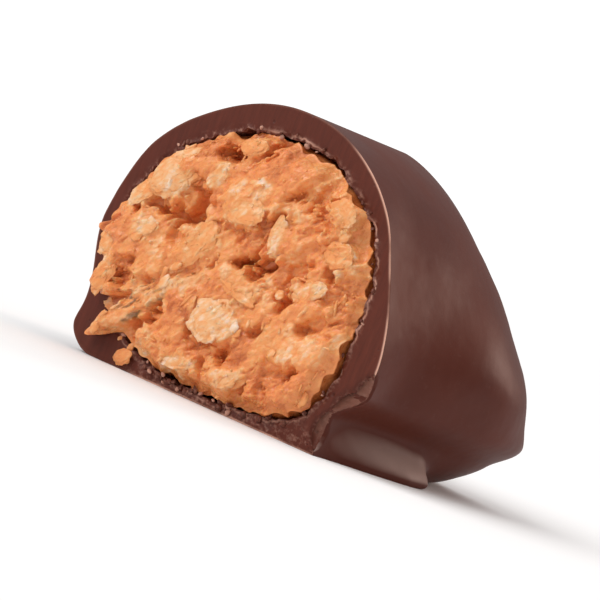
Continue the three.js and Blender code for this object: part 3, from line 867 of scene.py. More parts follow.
def placing_tree(name, shapes):
    """Sets shapes on single points that carry their own size, turn and tone."""
    tree, given = new_tree(name, [
        ("Material", "NodeSocketMaterial", None), ("Seed", "NodeSocketInt", 0)])
    size = add_node(tree, "GeometryNodeInputNamedAttribute", {"data_type": 'FLOAT_VECTOR'},
                    {"Name": "size"})
    turn = add_node(tree, "GeometryNodeInputNamedAttribute", {"data_type": 'FLOAT_VECTOR'},
                    {"Name": "turn"})
    spin = add_node(tree, "FunctionNodeEulerToRotation", inputs={0: turn.outputs[0]})
    pick = add_node(tree, "FunctionNodeRandomValue", {"data_type": 'INT'},
                    {"Min": 0, "Max": 50, "Seed": given["Seed"]})
    pool = variants(tree, shapes(tree))
    points = add_node(tree, "GeometryNodeMeshToPoints", inputs={"Mesh": given["Geometry"]})
    laid = add_node(tree, "GeometryNodeInstanceOnPoints", inputs={
        "Points": points.outputs[0], "Instance": pool, "Pick Instance": True,
        "Instance Index": pick.outputs[2], "Rotation": spin.outputs[0], "Scale": size.outputs[0]})
    close_tree(tree, laid.outputs[0], given["Material"])
    return tree


def scattering_tree(name, shapes):
    """Scatters shapes over the torn face, each with a size, turn, lean and tone of its own."""
    tree, given = new_tree(name, [
        ("Material", "NodeSocketMaterial", None), ("Density", "NodeSocketFloat", 1.0),
        ("Least Size", "NodeSocketVector", (0.001, 0.001, 0.001)),
        ("Most Size", "NodeSocketVector", (0.002, 0.002, 0.002)),
        ("Slant", "NodeSocketFloat", 0.9), ("Spread", "NodeSocketFloat", 0.8),
        ("Lean", "NodeSocketFloat", 0.5), ("Lift", "NodeSocketFloat", 0.0),
        ("Least Change", "NodeSocketFloat", -0.1), ("Most Change", "NodeSocketFloat", 0.1),
        ("Seed", "NodeSocketInt", 0)])
    face = add_node(tree, "GeometryNodeInputNamedAttribute", {"data_type": 'FLOAT'},
                    {"Name": "torn_face"})
    thickly = add_node(tree, "ShaderNodeMath", {"operation": 'MULTIPLY'},
                       {0: face.outputs[0], 1: given["Density"]})
    spread = add_node(tree, "GeometryNodeDistributePointsOnFaces", inputs={
        "Mesh": given["Geometry"], "Density": thickly.outputs[0], "Seed": given["Seed"]})
    normal = add_node(tree, "ShaderNodeVectorMath", {"operation": 'SCALE'},
                      {0: spread.outputs["Normal"], "Scale": given["Lift"]})
    raised = add_node(tree, "GeometryNodeSetPosition",
                      inputs={"Geometry": spread.outputs["Points"], "Offset": normal.outputs[0]})
    size = add_node(tree, "FunctionNodeRandomValue", {"data_type": 'FLOAT_VECTOR'},
                    {"Min": given["Least Size"], "Max": given["Most Size"], "Seed": given["Seed"]})
    # The plates lie in the cut face: their thin axis points along -Y before they lean.
    lie = add_node(tree, "FunctionNodeEulerToRotation", inputs={0: (math.pi / 2, 0.0, 0.0)})
    less = add_node(tree, "ShaderNodeMath", {"operation": 'SUBTRACT'},
                    {0: given["Slant"], 1: given["Spread"]})
    more = add_node(tree, "ShaderNodeMath", {"operation": 'ADD'},
                    {0: given["Slant"], 1: given["Spread"]})
    turn = add_node(tree, "FunctionNodeRandomValue", {"data_type": 'FLOAT'},
                    {2: less.outputs[0], 3: more.outputs[0], "Seed": given["Seed"]})
    back = add_node(tree, "ShaderNodeMath", {"operation": 'MULTIPLY'}, {0: given["Lean"], 1: -1.0})
    lean_low = add_node(tree, "ShaderNodeCombineXYZ", inputs={0: back.outputs[0], 1: back.outputs[0]})
    lean_high = add_node(tree, "ShaderNodeCombineXYZ", inputs={0: given["Lean"], 1: given["Lean"]})
    lean = add_node(tree, "FunctionNodeRandomValue", {"data_type": 'FLOAT_VECTOR'},
                    {"Min": lean_low.outputs[0], "Max": lean_high.outputs[0], "Seed": given["Seed"]})
    spin = add_node(tree, "ShaderNodeCombineXYZ", inputs={2: turn.outputs[1]})
    whole = add_node(tree, "ShaderNodeVectorMath", {"operation": 'ADD'},
                     {0: lean.outputs[0], 1: spin.outputs[0]})
    own = add_node(tree, "FunctionNodeEulerToRotation", inputs={0: whole.outputs[0]})
    turned = add_node(tree, "FunctionNodeRotateRotation", {"rotation_space": 'LOCAL'},
                      {0: lie.outputs[0], 1: own.outputs[0]})
    pick = add_node(tree, "FunctionNodeRandomValue", {"data_type": 'INT'},
                    {"Min": 0, "Max": 50, "Seed": given["Seed"]})
    pool = variants(tree, shapes(tree))
    laid = add_node(tree, "GeometryNodeInstanceOnPoints", inputs={
        "Points": raised.outputs[0], "Instance": pool, "Pick Instance": True,
        "Instance Index": pick.outputs[2], "Rotation": turned.outputs[0], "Scale": size.outputs[0]})
    # Each piece is about as pale as the coconut that it lies on.
    around = add_node(tree, "GeometryNodeInputNamedAttribute", {"data_type": 'FLOAT'}, {"Name": "tone"})
    change = add_node(tree, "FunctionNodeRandomValue", {"data_type": 'FLOAT'},
                      {2: given["Least Change"], 3: given["Most Change"], "Seed": given["Seed"]})
    tone = add_node(tree, "ShaderNodeMath", {"operation": 'ADD'},
                    {0: around.outputs[0], 1: change.outputs[1]})
    on_each = {"data_type": 'FLOAT', "domain": 'INSTANCE'}
    toned = add_node(tree, "GeometryNodeStoreNamedAttribute", on_each,
                     {"Geometry": laid.outputs[0], "Name": "tone", "Value": tone.outputs[0]})
    # The mark of the massive coconut is taken off them: they are too thin to glow as it does.
    loose = add_node(tree, "GeometryNodeStoreNamedAttribute", on_each,
                     {"Geometry": toned.outputs[0], "Name": "torn_face", "Value": 0.0})
    close_tree(tree, loose.outputs[0], given["Material"])
    return tree


def flake_shapes(tree):
    """Thin flakes with torn edges."""
    return [rugged_ball(tree, 3, seed, (1.0, 1.0, 0.3), 0.5, 2.0) for seed in range(1, 6)]


def shred_shapes(tree):
    """Slim shreds."""
    return [rugged_ball(tree, 2, seed, (1.0, 0.35, 0.22), 0.45) for seed in range(1, 5)]


def grain_shapes(tree):
    """Grains of a few faces each, because there are hundreds."""
    return [rugged_ball(tree, 1, seed, (1.0, 0.8, 0.7), 0.45) for seed in range(1, 5)]


def crumb_shapes(tree):
    """Crumbs of chocolate."""
    return [rugged_ball(tree, 2, seed, (1.0, 0.7, 0.55), 0.4) for seed in range(11, 16)]


def torn_shapes(tree):
    """Finely torn flakes, for the few that stand out."""
    return [rugged_ball(tree, 5, seed, (1.0, 1.0, 0.3), 0.5, 3.0) for seed in range(21, 27)]


def point_cloud(name, points, marks):
    """A mesh of single points in metres, with named vectors or numbers on each."""
    mesh = bpy.data.meshes.new(name)
    mesh.from_pydata((points * MM + np.array([0.0, CUT_PLANE, 0.0])).tolist(), [], [])
    for mark, values in marks.items():
        values = np.asarray(values, dtype=np.float32)
        kind, field = ('FLOAT_VECTOR', "vector") if values.ndim == 2 else ('FLOAT', "value")
        mesh.attributes.new(mark, kind, 'POINT').data.foreach_set(field, values.ravel())
    return mesh


# ---------------------------------------------------------------- materials


def new_material(name):
    material = bpy.data.materials.new(name)
    material.use_nodes = True
    material.node_tree.nodes.clear()
    return material, material.node_tree


def poured_chocolate(settings):
    """Tempered milk chocolate, poured over and set in the air: a satin skin with a slow, cloudy
    change of tone, a faint dusty bloom, a paler foot where it faces up as painted light, and soft
    ripples that break up its highlights."""
    material, tree = new_material("tempered_milk_chocolate_poured")
    place = add_node(tree, "ShaderNodeTexCoord").outputs["Object"]
    clouds = add_node(tree, "ShaderNodeTexNoise", inputs={
        "Vector": place, "Scale": 1 / (7 * MM), "Detail": 3.0})
    bloom = add_node(tree, "ShaderNodeTexNoise",
                     inputs={"Vector": place, "Scale": 1 / (0.7 * MM), "Detail": 4.0, "Roughness": 0.7})
    specks = add_node(tree, "ShaderNodeMapRange", inputs={
        "Value": bloom.outputs[0], "From Min": 0.58, "From Max": 0.8})
    tone = add_node(tree, "ShaderNodeMix", {"data_type": 'RGBA'}, {
        0: clouds.outputs[0], 6: linear_colour(settings.deep), 7: linear_colour(settings.light)})
    # Painted light: chocolate that faces up near the base is mixed towards the bloom colour, as if lit
    # from above. The faint specks are bloom.
    upward = add_node(tree, "ShaderNodeSeparateXYZ",
                      inputs={0: add_node(tree, "ShaderNodeNewGeometry").outputs["Normal"]})
    height = add_node(tree, "ShaderNodeSeparateXYZ", inputs={0: place})
    facing_up = add_node(tree, "ShaderNodeMapRange", inputs={
        "Value": upward.outputs[2], "From Min": 0.15, "From Max": 0.7, "To Min": 0.0, "To Max": 0.8})
    low_down = add_node(tree, "ShaderNodeMapRange", inputs={
        "Value": height.outputs[2], "From Min": 2.5 * MM, "From Max": 6.0 * MM,
        "To Min": 1.0, "To Max": 0.0})
    foot = add_node(tree, "ShaderNodeMath", {"operation": 'MULTIPLY'},
                    {0: facing_up.outputs[0], 1: low_down.outputs[0]})
    bloom_and_painted_foot_light = add_node(tree, "ShaderNodeMath", {"operation": 'MULTIPLY_ADD'},
                      {0: specks.outputs[0], 1: 0.05, 2: foot.outputs[0]})
    colour = add_node(tree, "ShaderNodeMix", {"data_type": 'RGBA'}, {
        0: bloom_and_painted_foot_light.outputs[0], 6: tone.outputs[2], 7: linear_colour(settings.bloom)})
    satin = add_node(tree, "ShaderNodeMapRange",
                     inputs={"Value": clouds.outputs[0], "From Min": 0.3, "From Max": 0.7,
                             "To Min": 0.36, "To Max": 0.5})
    ripples = add_node(tree, "ShaderNodeTexNoise", inputs={
        "Vector": place, "Scale": 1 / (2.4 * MM), "Detail": 2.0})
    grain = add_node(tree, "ShaderNodeTexNoise", inputs={
        "Vector": place, "Scale": 1 / (0.16 * MM), "Detail": 2.0})
    soft = add_node(tree, "ShaderNodeBump", inputs={
        "Height": ripples.outputs[0], "Strength": 0.25, "Distance": 0.25 * MM})
    fine = add_node(tree, "ShaderNodeBump", inputs={
        "Height": grain.outputs[0], "Strength": 0.10, "Distance": 0.03 * MM, "Normal": soft.outputs[0]})
    shader = add_node(tree, "ShaderNodeBsdfPrincipled", inputs={
        "Base Color": colour.outputs[2], "Roughness": satin.outputs[0], "IOR": 1.45,
        "Specular IOR Level": 0.18, "Normal": fine.outputs[0]})
    add_node(tree, "ShaderNodeOutputMaterial", inputs={"Surface": shader.outputs[0]})
    return material


def cut_chocolate(settings):
    """The same chocolate where the knife went through: more matt and a little redder, with drag
    lines, air bubbles painted dark inside as painted shade, a pale scraped edge with a painted glint
    along it, and crumbly pale flecks beside the coconut, partly painted glints."""
    material, tree = new_material("milk_chocolate_knife_cut")
    place = add_node(tree, "ShaderNodeTexCoord").outputs["Object"]
    drawn = add_node(tree, "ShaderNodeMapping", inputs={
        "Vector": place, "Rotation": (0.0, 0.25, 0.0), "Scale": (3.0, 1.0, 0.35)})
    drag = add_node(tree, "ShaderNodeTexNoise", inputs={
        "Vector": drawn.outputs[0], "Scale": 1 / (0.9 * MM), "Detail": 3.0})
    crumbs = add_node(tree, "ShaderNodeTexNoise",
                      inputs={"Vector": place, "Scale": 1 / (0.35 * MM), "Detail": 3.0,
                              "Roughness": 0.6})
    bubbles = add_node(tree, "ShaderNodeTexVoronoi", inputs={"Vector": place, "Scale": 1 / (1.5 * MM)})
    holes = add_node(tree, "ShaderNodeMapRange", inputs={
        "Value": bubbles.outputs["Distance"], "From Min": 0.05, "From Max": 0.13,
        "To Min": 1.0, "To Max": 0.0})
    scraped_with_glint = add_node(tree, "ShaderNodeAttribute", {"attribute_name": "scraped_with_glint"})
    torn = add_node(tree, "ShaderNodeAttribute", {"attribute_name": "torn"})
    # Pale flecks where the edge is torn: crumbled chocolate, partly painted glints.
    flecks = add_node(tree, "ShaderNodeMapRange", inputs={
        "Value": crumbs.outputs[0], "From Min": 0.48, "From Max": 0.78})
    flecked = add_node(tree, "ShaderNodeMath", {"operation": 'MULTIPLY'},
                       {0: flecks.outputs[0], 1: torn.outputs["Fac"]})
    tone = add_node(tree, "ShaderNodeMix", {"data_type": 'RGBA'}, {
        0: drag.outputs[0], 6: linear_colour(settings.cut_deep), 7: linear_colour(settings.cut_light)})
    # Painted shade: the bubbles are painted dark inside as well as dented.
    painted_shade_pits = add_node(tree, "ShaderNodeMix", {"data_type": 'RGBA'}, {
        0: holes.outputs[0], 6: tone.outputs[2], 7: linear_colour(settings.deep)})
    crumbly_share = add_node(tree, "ShaderNodeMath", {"operation": 'MULTIPLY'},
                             {0: flecked.outputs[0], 1: 0.55})
    crumbly = add_node(tree, "ShaderNodeMix", {"data_type": 'RGBA'}, {
        0: crumbly_share.outputs[0], 6: painted_shade_pits.outputs[2], 7: linear_colour(settings.scrape_and_glint)})
    # The pale scraped edge, with a painted glint along it.
    colour = add_node(tree, "ShaderNodeMix", {"data_type": 'RGBA'}, {
        0: scraped_with_glint.outputs["Fac"], 6: crumbly.outputs[2], 7: linear_colour(settings.scrape_and_glint)})
    lines = add_node(tree, "ShaderNodeBump", inputs={
        "Height": drag.outputs[0], "Strength": 0.35, "Distance": 0.06 * MM})
    dented = add_node(tree, "ShaderNodeBump", {"invert": True}, {
        "Height": holes.outputs[0], "Strength": 0.6, "Distance": 0.1 * MM, "Normal": lines.outputs[0]})
    rough = add_node(tree, "ShaderNodeBump", inputs={
        "Height": flecked.outputs[0], "Strength": 0.5, "Distance": 0.08 * MM,
        "Normal": dented.outputs[0]})
    shader = add_node(tree, "ShaderNodeBsdfPrincipled", inputs={
        "Base Color": colour.outputs[2], "Roughness": 0.48, "IOR": 1.45,
        "Specular IOR Level": 0.25, "Normal": rough.outputs[0]})
    add_node(tree, "ShaderNodeOutputMaterial", inputs={"Surface": shader.outputs[0]})
    return material


def belt_chocolate(settings):
    """The same chocolate where it set on a cooling belt: streaked, flatter and smoother."""
    material, tree = new_material("milk_chocolate_belt_side")
    place = add_node(tree, "ShaderNodeTexCoord").outputs["Object"]
    stretched = add_node(tree, "ShaderNodeMapping", inputs={"Vector": place, "Scale": (0.3, 2.0, 1.0)})
    streaks = add_node(tree, "ShaderNodeTexNoise", inputs={
        "Vector": stretched.outputs[0], "Scale": 1 / (1.2 * MM), "Detail": 4.0})
    tone = add_node(tree, "ShaderNodeMix", {"data_type": 'RGBA'}, {
        0: streaks.outputs[0], 6: linear_colour(settings.deep), 7: linear_colour(settings.light)})
    relief = add_node(tree, "ShaderNodeBump", inputs={
        "Height": streaks.outputs[0], "Strength": 0.4, "Distance": 0.12 * MM})
    shader = add_node(tree, "ShaderNodeBsdfPrincipled", inputs={
        "Base Color": tone.outputs[2], "Roughness": 0.35, "IOR": 1.45,
        "Specular IOR Level": 0.35, "Normal": relief.outputs[0]})
    add_node(tree, "ShaderNodeOutputMaterial", inputs={"Surface": shader.outputs[0]})
    return material


def soaked_coconut(settings):
    """Desiccated coconut soaked in syrup and pressed: grains and shreds, waxy and a little
    see-through, pale where one stayed dry, golden where it drank, and deep orange in the hollows,
    where syrup gathered and where the colour is also darkened as painted shade."""
    material, tree = new_material("desiccated_coconut_in_syrup")
    place = add_node(tree, "ShaderNodeTexCoord").outputs["Object"]
    tone = add_node(tree, "ShaderNodeAttribute", {"attribute_name": "tone"})
    hollow = add_node(tree, "ShaderNodeAttribute", {"attribute_name": "hollow"})
    massive = add_node(tree, "ShaderNodeAttribute", {"attribute_name": "torn_face"})
    drawn = add_node(tree, "ShaderNodeMapping", {"vector_type": 'TEXTURE'}, {
        "Vector": place, "Rotation": (0.0, -math.radians(CRAG["slant"]), 0.0),
        "Scale": (1.5, 1.0, 0.8)})
    fibre = add_node(tree, "ShaderNodeTexNoise", inputs={
        "Vector": drawn.outputs[0], "Scale": 1 / (0.45 * MM), "Detail": 3.0, "Roughness": 0.55})
    soak = add_node(tree, "ShaderNodeTexNoise", inputs={
        "Vector": place, "Scale": 1 / (2.6 * MM), "Detail": 3.0})
    strayed = add_node(tree, "ShaderNodeVectorMath", {"operation": 'SCALE'},
                       {0: fibre.outputs["Color"], "Scale": 0.5 * MM})
    bent = add_node(tree, "ShaderNodeVectorMath", {"operation": 'ADD'},
                    {0: drawn.outputs[0], 1: strayed.outputs[0]})
    # Desiccated coconut is cut into shreds about a millimetre wide and grains of under half of one.
    shreds = add_node(tree, "ShaderNodeTexVoronoi", inputs={
        "Vector": bent.outputs[0], "Scale": 1 / (1.1 * MM)})
    grains = add_node(tree, "ShaderNodeTexVoronoi", inputs={
        "Vector": bent.outputs[0], "Scale": 1 / (0.42 * MM)})
    level = tone.outputs["Fac"]
    for pattern, start, end, low, high in (
        (fibre.outputs[0], 0.3, 0.7, -0.08, 0.08),
        (soak.outputs[0], 0.3, 0.7, -0.12, 0.12),
        (shreds.outputs["Color"], 0.0, 1.0, -0.08, 0.09),
        (grains.outputs["Color"], 0.0, 1.0, -0.12, 0.14),
        # Painted light: each grain is made paler in its middle and darker towards its edge, a painted
        # highlight and shade.
        (grains.outputs["Distance"], 0.0, 0.7, 0.08, -0.10),
        # Deeper colour in the hollows: syrup, and painted shade.
        (hollow.outputs["Fac"], 0.0, 1.0, 0.0, -0.26),
    ):
        change = add_node(tree, "ShaderNodeMapRange", inputs={
            "Value": pattern, "From Min": start, "From Max": end, "To Min": low, "To Max": high})
        level = add_node(tree, "ShaderNodeMath", {"operation": 'ADD'},
                         {0: level, 1: change.outputs[0]}).outputs[0]
    ramp = add_node(tree, "ShaderNodeValToRGB", inputs={0: level})
    stops = ramp.color_ramp.elements
    stops[0].position, stops[0].color = 0.0, linear_colour(settings.deep)
    stops[1].position, stops[1].color = 1.0, linear_colour(settings.pale)
    for position, code in ((0.3, settings.amber), (0.55, settings.golden), (0.75, settings.straw)):
        stops.new(position).color = linear_colour(code)
    humps = add_node(tree, "ShaderNodeMath", {"operation": 'MULTIPLY_ADD'},
                     {0: grains.outputs["Distance"], 1: -0.8, 2: fibre.outputs[0]})
    grainy = add_node(tree, "ShaderNodeMapRange", inputs={
        "Value": massive.outputs["Fac"], "To Min": 0.3, "To Max": 0.75})
    relief = add_node(tree, "ShaderNodeBump", inputs={
        "Height": humps.outputs[0], "Strength": grainy.outputs[0], "Distance": 0.14 * MM})
    moist = add_node(tree, "ShaderNodeMapRange", inputs={
        "Value": fibre.outputs[0], "From Min": 0.3, "From Max": 0.7, "To Min": 0.5, "To Max": 0.18})
    see_through = add_node(tree, "ShaderNodeMapRange",
                           inputs={"Value": massive.outputs["Fac"], "To Min": 0.08, "To Max": 0.4})
    shader = add_node(tree, "ShaderNodeBsdfPrincipled", {"subsurface_method": 'RANDOM_WALK'}, {
        "Base Color": ramp.outputs[0], "IOR": 1.46, "Specular IOR Level": 0.45,
        "Roughness": moist.outputs[0], "Subsurface Weight": see_through.outputs[0],
        "Subsurface Radius": (1.0, 0.45, 0.2), "Subsurface Scale": 0.9 * MM,
        "Normal": relief.outputs[0]})
    add_node(tree, "ShaderNodeOutputMaterial", inputs={"Surface": shader.outputs[0]})
    return material


# ---------------------------------------------------------------- settings


def length_setting(label, about, default_mm):
    return bpy.props.FloatProperty(name=label, description=about, default=default_mm * MM, min=0.0,
                                   unit='LENGTH', precision=5)


def colour_setting(label, about, default):
    about = about + ", as an sRGB hex colour"
    return bpy.props.StringProperty(name=label, description=about, default=default)


def count_setting(label, about, default):
    return bpy.props.IntProperty(name=label, description=about, default=default, min=1)


def strength_setting(label, about, default):
    return bpy.props.FloatProperty(name=label, description=about, default=default, min=0.0)


def density_setting(label, about, default):
    about = about + " on each square metre of the torn face"
    return bpy.props.FloatProperty(name=label, description=about, default=default, min=0.0)


def angle_setting(label, about, default_degrees):
    default = math.radians(default_degrees)
    return bpy.props.FloatProperty(name=label, description=about, default=default, subtype='ANGLE')


class CoatSettings(bpy.types.PropertyGroup):
    pour_unevenness: length_setting("Pour unevenness", "How far fine waves stand out", 0.05)
    edge_bevel: length_setting("Edge bevel", "Width of the worn edge round the cut", 0.05)
    # The pale scraped line is partly a painted glint.
    glint_scrape_width: length_setting("Scrape width", "Width of the pale scraped line round the cut", 0.08)
    torn_width: length_setting("Torn width", "Width of the crumbly edge beside the coconut", 0.35)
    torn_depth: length_setting("Torn depth", "Depth of the crumbly edge beside the coconut", 0.22)
    crumb_count: count_setting("Crumbs", "Chocolate crumbs at the coat's inner edge", 70)
    deep: colour_setting("Deep", "Darker clouds of the poured chocolate", "#4a1f15")
    light: colour_setting("Light", "Lighter clouds of the poured chocolate", "#622e21")
    # This colour also makes the upward-facing foot paler, as painted light.
    bloom: colour_setting("Bloom", "Dusty bloom on the poured chocolate", "#a58a80")
    cut_deep: colour_setting("Cut, deep", "Darker drag lines of the cut chocolate", "#4c2116")
    cut_light: colour_setting("Cut, light", "Lighter drag lines of the cut chocolate", "#662e20")
    # Scraped and crumbled chocolate, also used for painted glints.
    scrape_and_glint: colour_setting("Scrape", "Scraped and crumbled chocolate", "#dba892")


class FillingSettings(bpy.types.PropertyGroup):
    seed: bpy.props.IntProperty(name="Seed", description="Changes how the coconut lies", default=7)
    clump_count: count_setting("Clumps", "Large clumps in the torn face", 110)
    chunk_count: count_setting("Chunks", "Middling chunks in the torn face", 200)
    fleck_count: count_setting("Flecks", "Small flecks in the torn face", 160)
    proud_limit: length_setting("Proud limit", "Above this height the torn face is pressed back", 1.5)
    smear_reach: length_setting("Smear", "How far coconut was dragged over the coat", 1.1)
    flake_density: density_setting("Flakes", "Loose flakes", 0.05e6)
    shred_density: density_setting("Shreds", "Loose shreds", 0.1e6)
    grain_density: density_setting("Loose grains", "Loose grains", 0.5e6)
    # This colour is reached in the hollows, for syrup there and as painted shade.
    deep: colour_setting("Deep", "Coconut at the bottom of a hollow", "#be6431")
    amber: colour_setting("Amber", "Coconut full of syrup", "#e68d52")
    golden: colour_setting("Golden", "Most of the coconut", "#eb9b5b")
    straw: colour_setting("Straw", "Coconut that drank little", "#eeb580")
    pale: colour_setting("Pale", "Dry coconut", "#f2d6bd")


class StageSettings(bpy.types.PropertyGroup):
    azimuth: angle_setting("Azimuth", "Camera's turn from -Y towards +X", 32.0)
    elevation: angle_setting("Elevation", "Camera's height over the candy", 2.0)
    roll: angle_setting("Roll", "Tilt of the picture, as a leaning candy is seen", 21.7)
    distance: length_setting("Distance", "Camera to the middle of the candy", 303.0)
    lens: bpy.props.FloatProperty(name="Lens", description="Focal length in mm", default=230.0)
    aim_left: length_setting("Aim left", "The camera aims this far left of the candy's middle", 3.35)
    aim_down: length_setting("Aim down", "The camera aims this far below the candy's middle", 0.8)
    floor_radius: length_setting("Floor radius", "Half the width of the floor", 900.0)
    ambient: strength_setting("Ambient", "Light from all round", 0.4)
    key: strength_setting("Key", "Strength of the light at the front", 1.9)
    top: strength_setting("Top", "Strength of the light overhead", 0.85)
    side: strength_setting("Side", "Strength of the light behind on +X", 0.8)


# ---------------------------------------------------------------- operators


def settings_of(name):
    return getattr(bpy.context.scene, name)


class CANDY_OT_pour_coat(bpy.types.Operator):
    """Makes the chocolate coat with its cut rim, chipped edge and grooved underside"""
    bl_idname = "candy.pour_coat"
    bl_label = "Pour the Coat"

    def execute(self, context):
        settings = settings_of("candy_coat")
        points, faces, marks = coat_mesh(settings)
        materials = [poured_chocolate(settings), cut_chocolate(settings), belt_chocolate(settings)]
        coat = solid_piece("coat", points, faces, marks, materials)
        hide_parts(COAT_NODE)
        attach(coat, "root")
        return {'FINISHED'}


class CANDY_OT_press_coconut(bpy.types.Operator):
    """Makes the coconut filling with its torn face and the smear over the coat"""
    bl_idname = "candy.press_coconut"
    bl_label = "Press the Coconut"

    def execute(self, context):
        settings = settings_of("candy_filling")
        points, faces, marks = filling_mesh(settings, pressed_relief(settings))
        filling = solid_piece("coconut", points, faces, marks, [soaked_coconut(settings)])
        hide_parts(FILLING_NODE)
        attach(filling, "root")
        return {'FINISHED'}


class CANDY_OT_lay_flakes(bpy.types.Operator):
    """Lays the large flakes that stand out, and scatters small flakes, shreds and grains"""
    bl_idname = "candy.lay_flakes"
    bl_label = "Lay the Flakes"

    def execute(self, context):
        settings = settings_of("candy_filling")
        filling = bpy.data.objects["coconut"]
        material = filling.data.materials[0]
        slant = math.radians(CRAG["slant"])
        large = np.array(LARGE_FLAKES + LOOSE_CRUMBS)
        depth = CRUMB_SUNK - large[:, 5]
        # The large flakes lie on the torn face, wherever it stands.
        for row, (x, z, *_) in enumerate(LARGE_FLAKES):
            in_front = Vector((x * MM, CUT_PLANE - 5 * MM, z * MM))
            hit, place, _, _ = filling.ray_cast(in_front, Vector((0, 1, 0)))
            depth[row] = (place.y - CUT_PLANE) / MM + FLAKE_SUNK if hit else 0.0
        draws = np.random.default_rng(settings.seed + 1)
        lean = draws.uniform(-0.22, 0.22, (len(large), 2))
        cloud = point_cloud("large_flakes", np.stack([large[:, 0], depth, large[:, 1]], axis=-1), {
            "size": np.stack([large[:, 2], large[:, 3], 0.8 + 0.4 * large[:, 3]], axis=-1) * MM,
            "turn": np.stack([math.pi / 2 + lean[:, 0], -np.radians(large[:, 4]), lean[:, 1]], axis=-1),
            "tone": 0.40 + 0.36 * large[:, 6]})
        pieces = [grown_piece("large_flakes", cloud, placing_tree("Placed flakes", torn_shapes),
                              {"Material": material, "Seed": 3})]
        kinds = (
            # name, shapes, density, least and most size, lean, least and most change of tone
            ("small_flakes", flake_shapes, settings.flake_density,
             (0.8, 0.5, 0.8), (1.8, 1.1, 1.4), 0.4, -0.02, 0.14),
            ("shreds", shred_shapes, settings.shred_density,
             (0.6, 0.5, 0.6), (1.5, 0.9, 1.0), 0.5, -0.04, 0.1),
            ("grains", grain_shapes, settings.grain_density,
             (0.2, 0.2, 0.2), (0.45, 0.45, 0.45), 3.0, -0.02, 0.15),
        )
        for name, shapes, density, least, most, lean_most, least_change, most_change in kinds:
            values = {
                "Material": material, "Density": density, "Least Size": [s * MM for s in least],
                "Most Size": [s * MM for s in most], "Slant": slant, "Spread": 0.9, "Lean": lean_most,
                "Lift": 0.0, "Least Change": least_change, "Most Change": most_change, "Seed": 5}
            pieces.append(grown_piece(name, filling.data, scattering_tree(name, shapes), values))
        for piece in pieces:
            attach(piece, "root")
        return {'FINISHED'}


class CANDY_OT_strew_crumbs(bpy.types.Operator):
    """Strews chocolate crumbs along the coat's torn inner edge"""
    bl_idname = "candy.strew_crumbs"
    bl_label = "Strew the Crumbs"

    def execute(self, context):
        settings = settings_of("candy_coat")
        draws = np.random.default_rng(23)
        count = settings.crumb_count
        # Most lie along the thin wall under the coconut, the rest at the top and down the +X side.
        turn = np.radians(np.where(draws.random(count) < 0.6, draws.normal(-88, 30, count),
                                   draws.uniform(-60, 150, count)))
        edge = cavity_outline(turn)
        outwards = edge - mouth_centre() * np.array([1, 0, 1])
        outwards /= np.linalg.norm(outwards, axis=-1, keepdims=True)
        places = edge + outwards * draws.uniform(-0.25, 0.45, (count, 1))
        places[:, 1] = draws.uniform(-0.12, 0.12, count)
        places[:, 2] = np.maximum(places[:, 2], 0.35)
        size = draws.uniform(0.25, 0.75, (count, 1)) * draws.uniform(0.6, 1.2, (count, 3)) * MM
        # About a third of the crumbs carry the pale scraped mark as painted glints.
        cloud = point_cloud("coat_crumbs", places, {
            "size": size, "turn": draws.uniform(-3, 3, (count, 3)),
            "torn": draws.random(count) ** 0.6,
            "scraped_with_glint": np.where(draws.random(count) < 0.3, 0.7, 0.05)})
        material = bpy.data.objects["coat"].data.materials[1]
        crumbs = grown_piece("coat_crumbs", cloud, placing_tree("Placed crumbs", crumb_shapes),
                             {"Material": material, "Seed": 9})
        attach(crumbs, "root")
        return {'FINISHED'}


def soft_light(name, towards, width, strength, colour="#ffffff"):
    """Far soft light, such as a large lit panel, that stands in the direction given; width is the
    angle that it fills, in degrees."""
    lamp = bpy.data.lights.new(name, 'SUN')
    lamp.angle = math.radians(width)
    lamp.energy = strength
    lamp.color = linear_colour(colour)[:3]
    light = bpy.data.objects.new(name, lamp)
    light.rotation_euler = Vector(towards).to_track_quat('Z', 'Y').to_euler()
    bpy.context.scene.collection.objects.link(light)


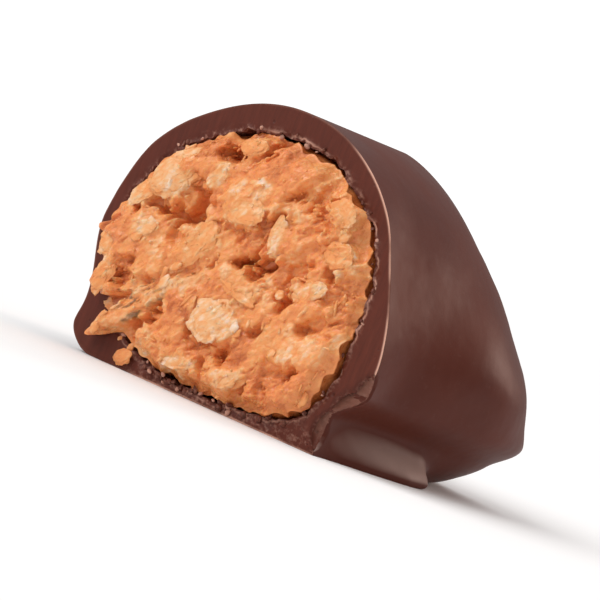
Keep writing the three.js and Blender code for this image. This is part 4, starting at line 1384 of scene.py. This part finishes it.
class CANDY_OT_set_stage(bpy.types.Operator):
    """Makes the white floor, the soft lights, the pale surroundings and the camera"""
    bl_idname = "candy.set_stage"
    bl_label = "Set the Stage"

    def execute(self, context):
        settings = settings_of("candy_stage")
        scene = context.scene
        floor_mesh = bpy.data.meshes.new("floor")
        reach = settings.floor_radius
        corners = [(-reach, -reach, 0), (reach, -reach, 0), (reach, reach, 0), (-reach, reach, 0)]
        floor_mesh.from_pydata(corners, [], [(0, 1, 2, 3)])
        floor = bpy.data.objects.new("floor", floor_mesh)
        scene.collection.objects.link(floor)
        paper, tree = new_material("matt_white_paper")
        diffuse = add_node(tree, "ShaderNodeBsdfDiffuse", inputs={"Color": linear_colour("#f4f4f4")})
        add_node(tree, "ShaderNodeOutputMaterial", inputs={"Surface": diffuse.outputs[0]})
        floor_mesh.materials.append(paper)

        world = bpy.data.worlds.new("pale surroundings")
        world.use_nodes = True
        tree = world.node_tree
        tree.nodes.clear()
        path = add_node(tree, "ShaderNodeLightPath")
        soft = add_node(tree, "ShaderNodeBackground", inputs={
            "Color": (1, 1, 1, 1), "Strength": settings.ambient})
        white = add_node(tree, "ShaderNodeBackground", inputs={"Color": (1, 1, 1, 1), "Strength": 1.1})
        mixed = add_node(tree, "ShaderNodeMixShader",
                         inputs={0: path.outputs["Is Camera Ray"], 1: soft.outputs[0],
                                 2: white.outputs[0]})
        add_node(tree, "ShaderNodeOutputWorld", inputs={"Surface": mixed.outputs[0]})
        scene.world = world

        soft_light("key", (-0.5, -0.8, 0.85), 45, settings.key)
        soft_light("top", (0.1, 0.25, 1.0), 60, settings.top)
        soft_light("side", (0.42, 0.82, 0.38), 22, settings.side, "#ffdccc")

        azimuth, elevation, roll = settings.azimuth, settings.elevation, settings.roll
        back = Vector((math.sin(azimuth) * math.cos(elevation),
                       -math.cos(azimuth) * math.cos(elevation), math.sin(elevation)))
        level = Vector((math.cos(azimuth), math.sin(azimuth), 0.0))
        upright = back.cross(level)
        right = level * math.cos(roll) + upright * math.sin(roll)
        up = back.cross(right)
        low, high = (Vector(corner) for corner in CAD_BOX)
        target = (low + high) / 2 - right * settings.aim_left - up * settings.aim_down
        lens = bpy.data.cameras.new("camera")
        lens.lens = settings.lens
        lens.clip_start = 0.01
        camera = bpy.data.objects.new("camera", lens)
        turned = Matrix((right, up, back)).transposed().to_4x4()
        camera.matrix_world = Matrix.Translation(target + back * settings.distance) @ turned
        scene.collection.objects.link(camera)
        scene.camera = camera
        scene.view_settings.view_transform = 'Standard'
        return {'FINISHED'}


class CANDY_PT_workshop(bpy.types.Panel):
    """Lists the steps that build the candy"""
    bl_label = "Coconut Candy Stick"
    bl_idname = "CANDY_PT_workshop"
    bl_space_type = 'VIEW_3D'
    bl_region_type = 'UI'
    bl_category = "Candy"

    def draw(self, context):
        for step in STEPS:
            self.layout.operator(step.bl_idname)
        for name in ("candy_coat", "candy_filling", "candy_stage"):
            group = getattr(context.scene, name)
            box = self.layout.box()
            for setting in group.bl_rna.properties:
                if setting.identifier not in ("rna_type", "name"):
                    box.prop(group, setting.identifier)


STEPS = (CANDY_OT_set_stage, CANDY_OT_pour_coat, CANDY_OT_press_coconut, CANDY_OT_lay_flakes,
         CANDY_OT_strew_crumbs)
GROUPS = {"candy_coat": CoatSettings, "candy_filling": FillingSettings, "candy_stage": StageSettings}
CLASSES = (*GROUPS.values(), *STEPS, CANDY_PT_workshop)


def register():
    for cls in CLASSES:
        bpy.utils.register_class(cls)
    for name, group in GROUPS.items():
        setattr(bpy.types.Scene, name, bpy.props.PointerProperty(type=group))


def unregister():
    for name in GROUPS:
        delattr(bpy.types.Scene, name)
    for cls in reversed(CLASSES):
        bpy.utils.unregister_class(cls)


def main():
    register()
    bpy.ops.candy.set_stage()
    bpy.ops.candy.pour_coat()
    bpy.ops.candy.press_coconut()
    bpy.ops.candy.lay_flakes()
    bpy.ops.candy.strew_crumbs()


if __name__ == "__main__":
    main()
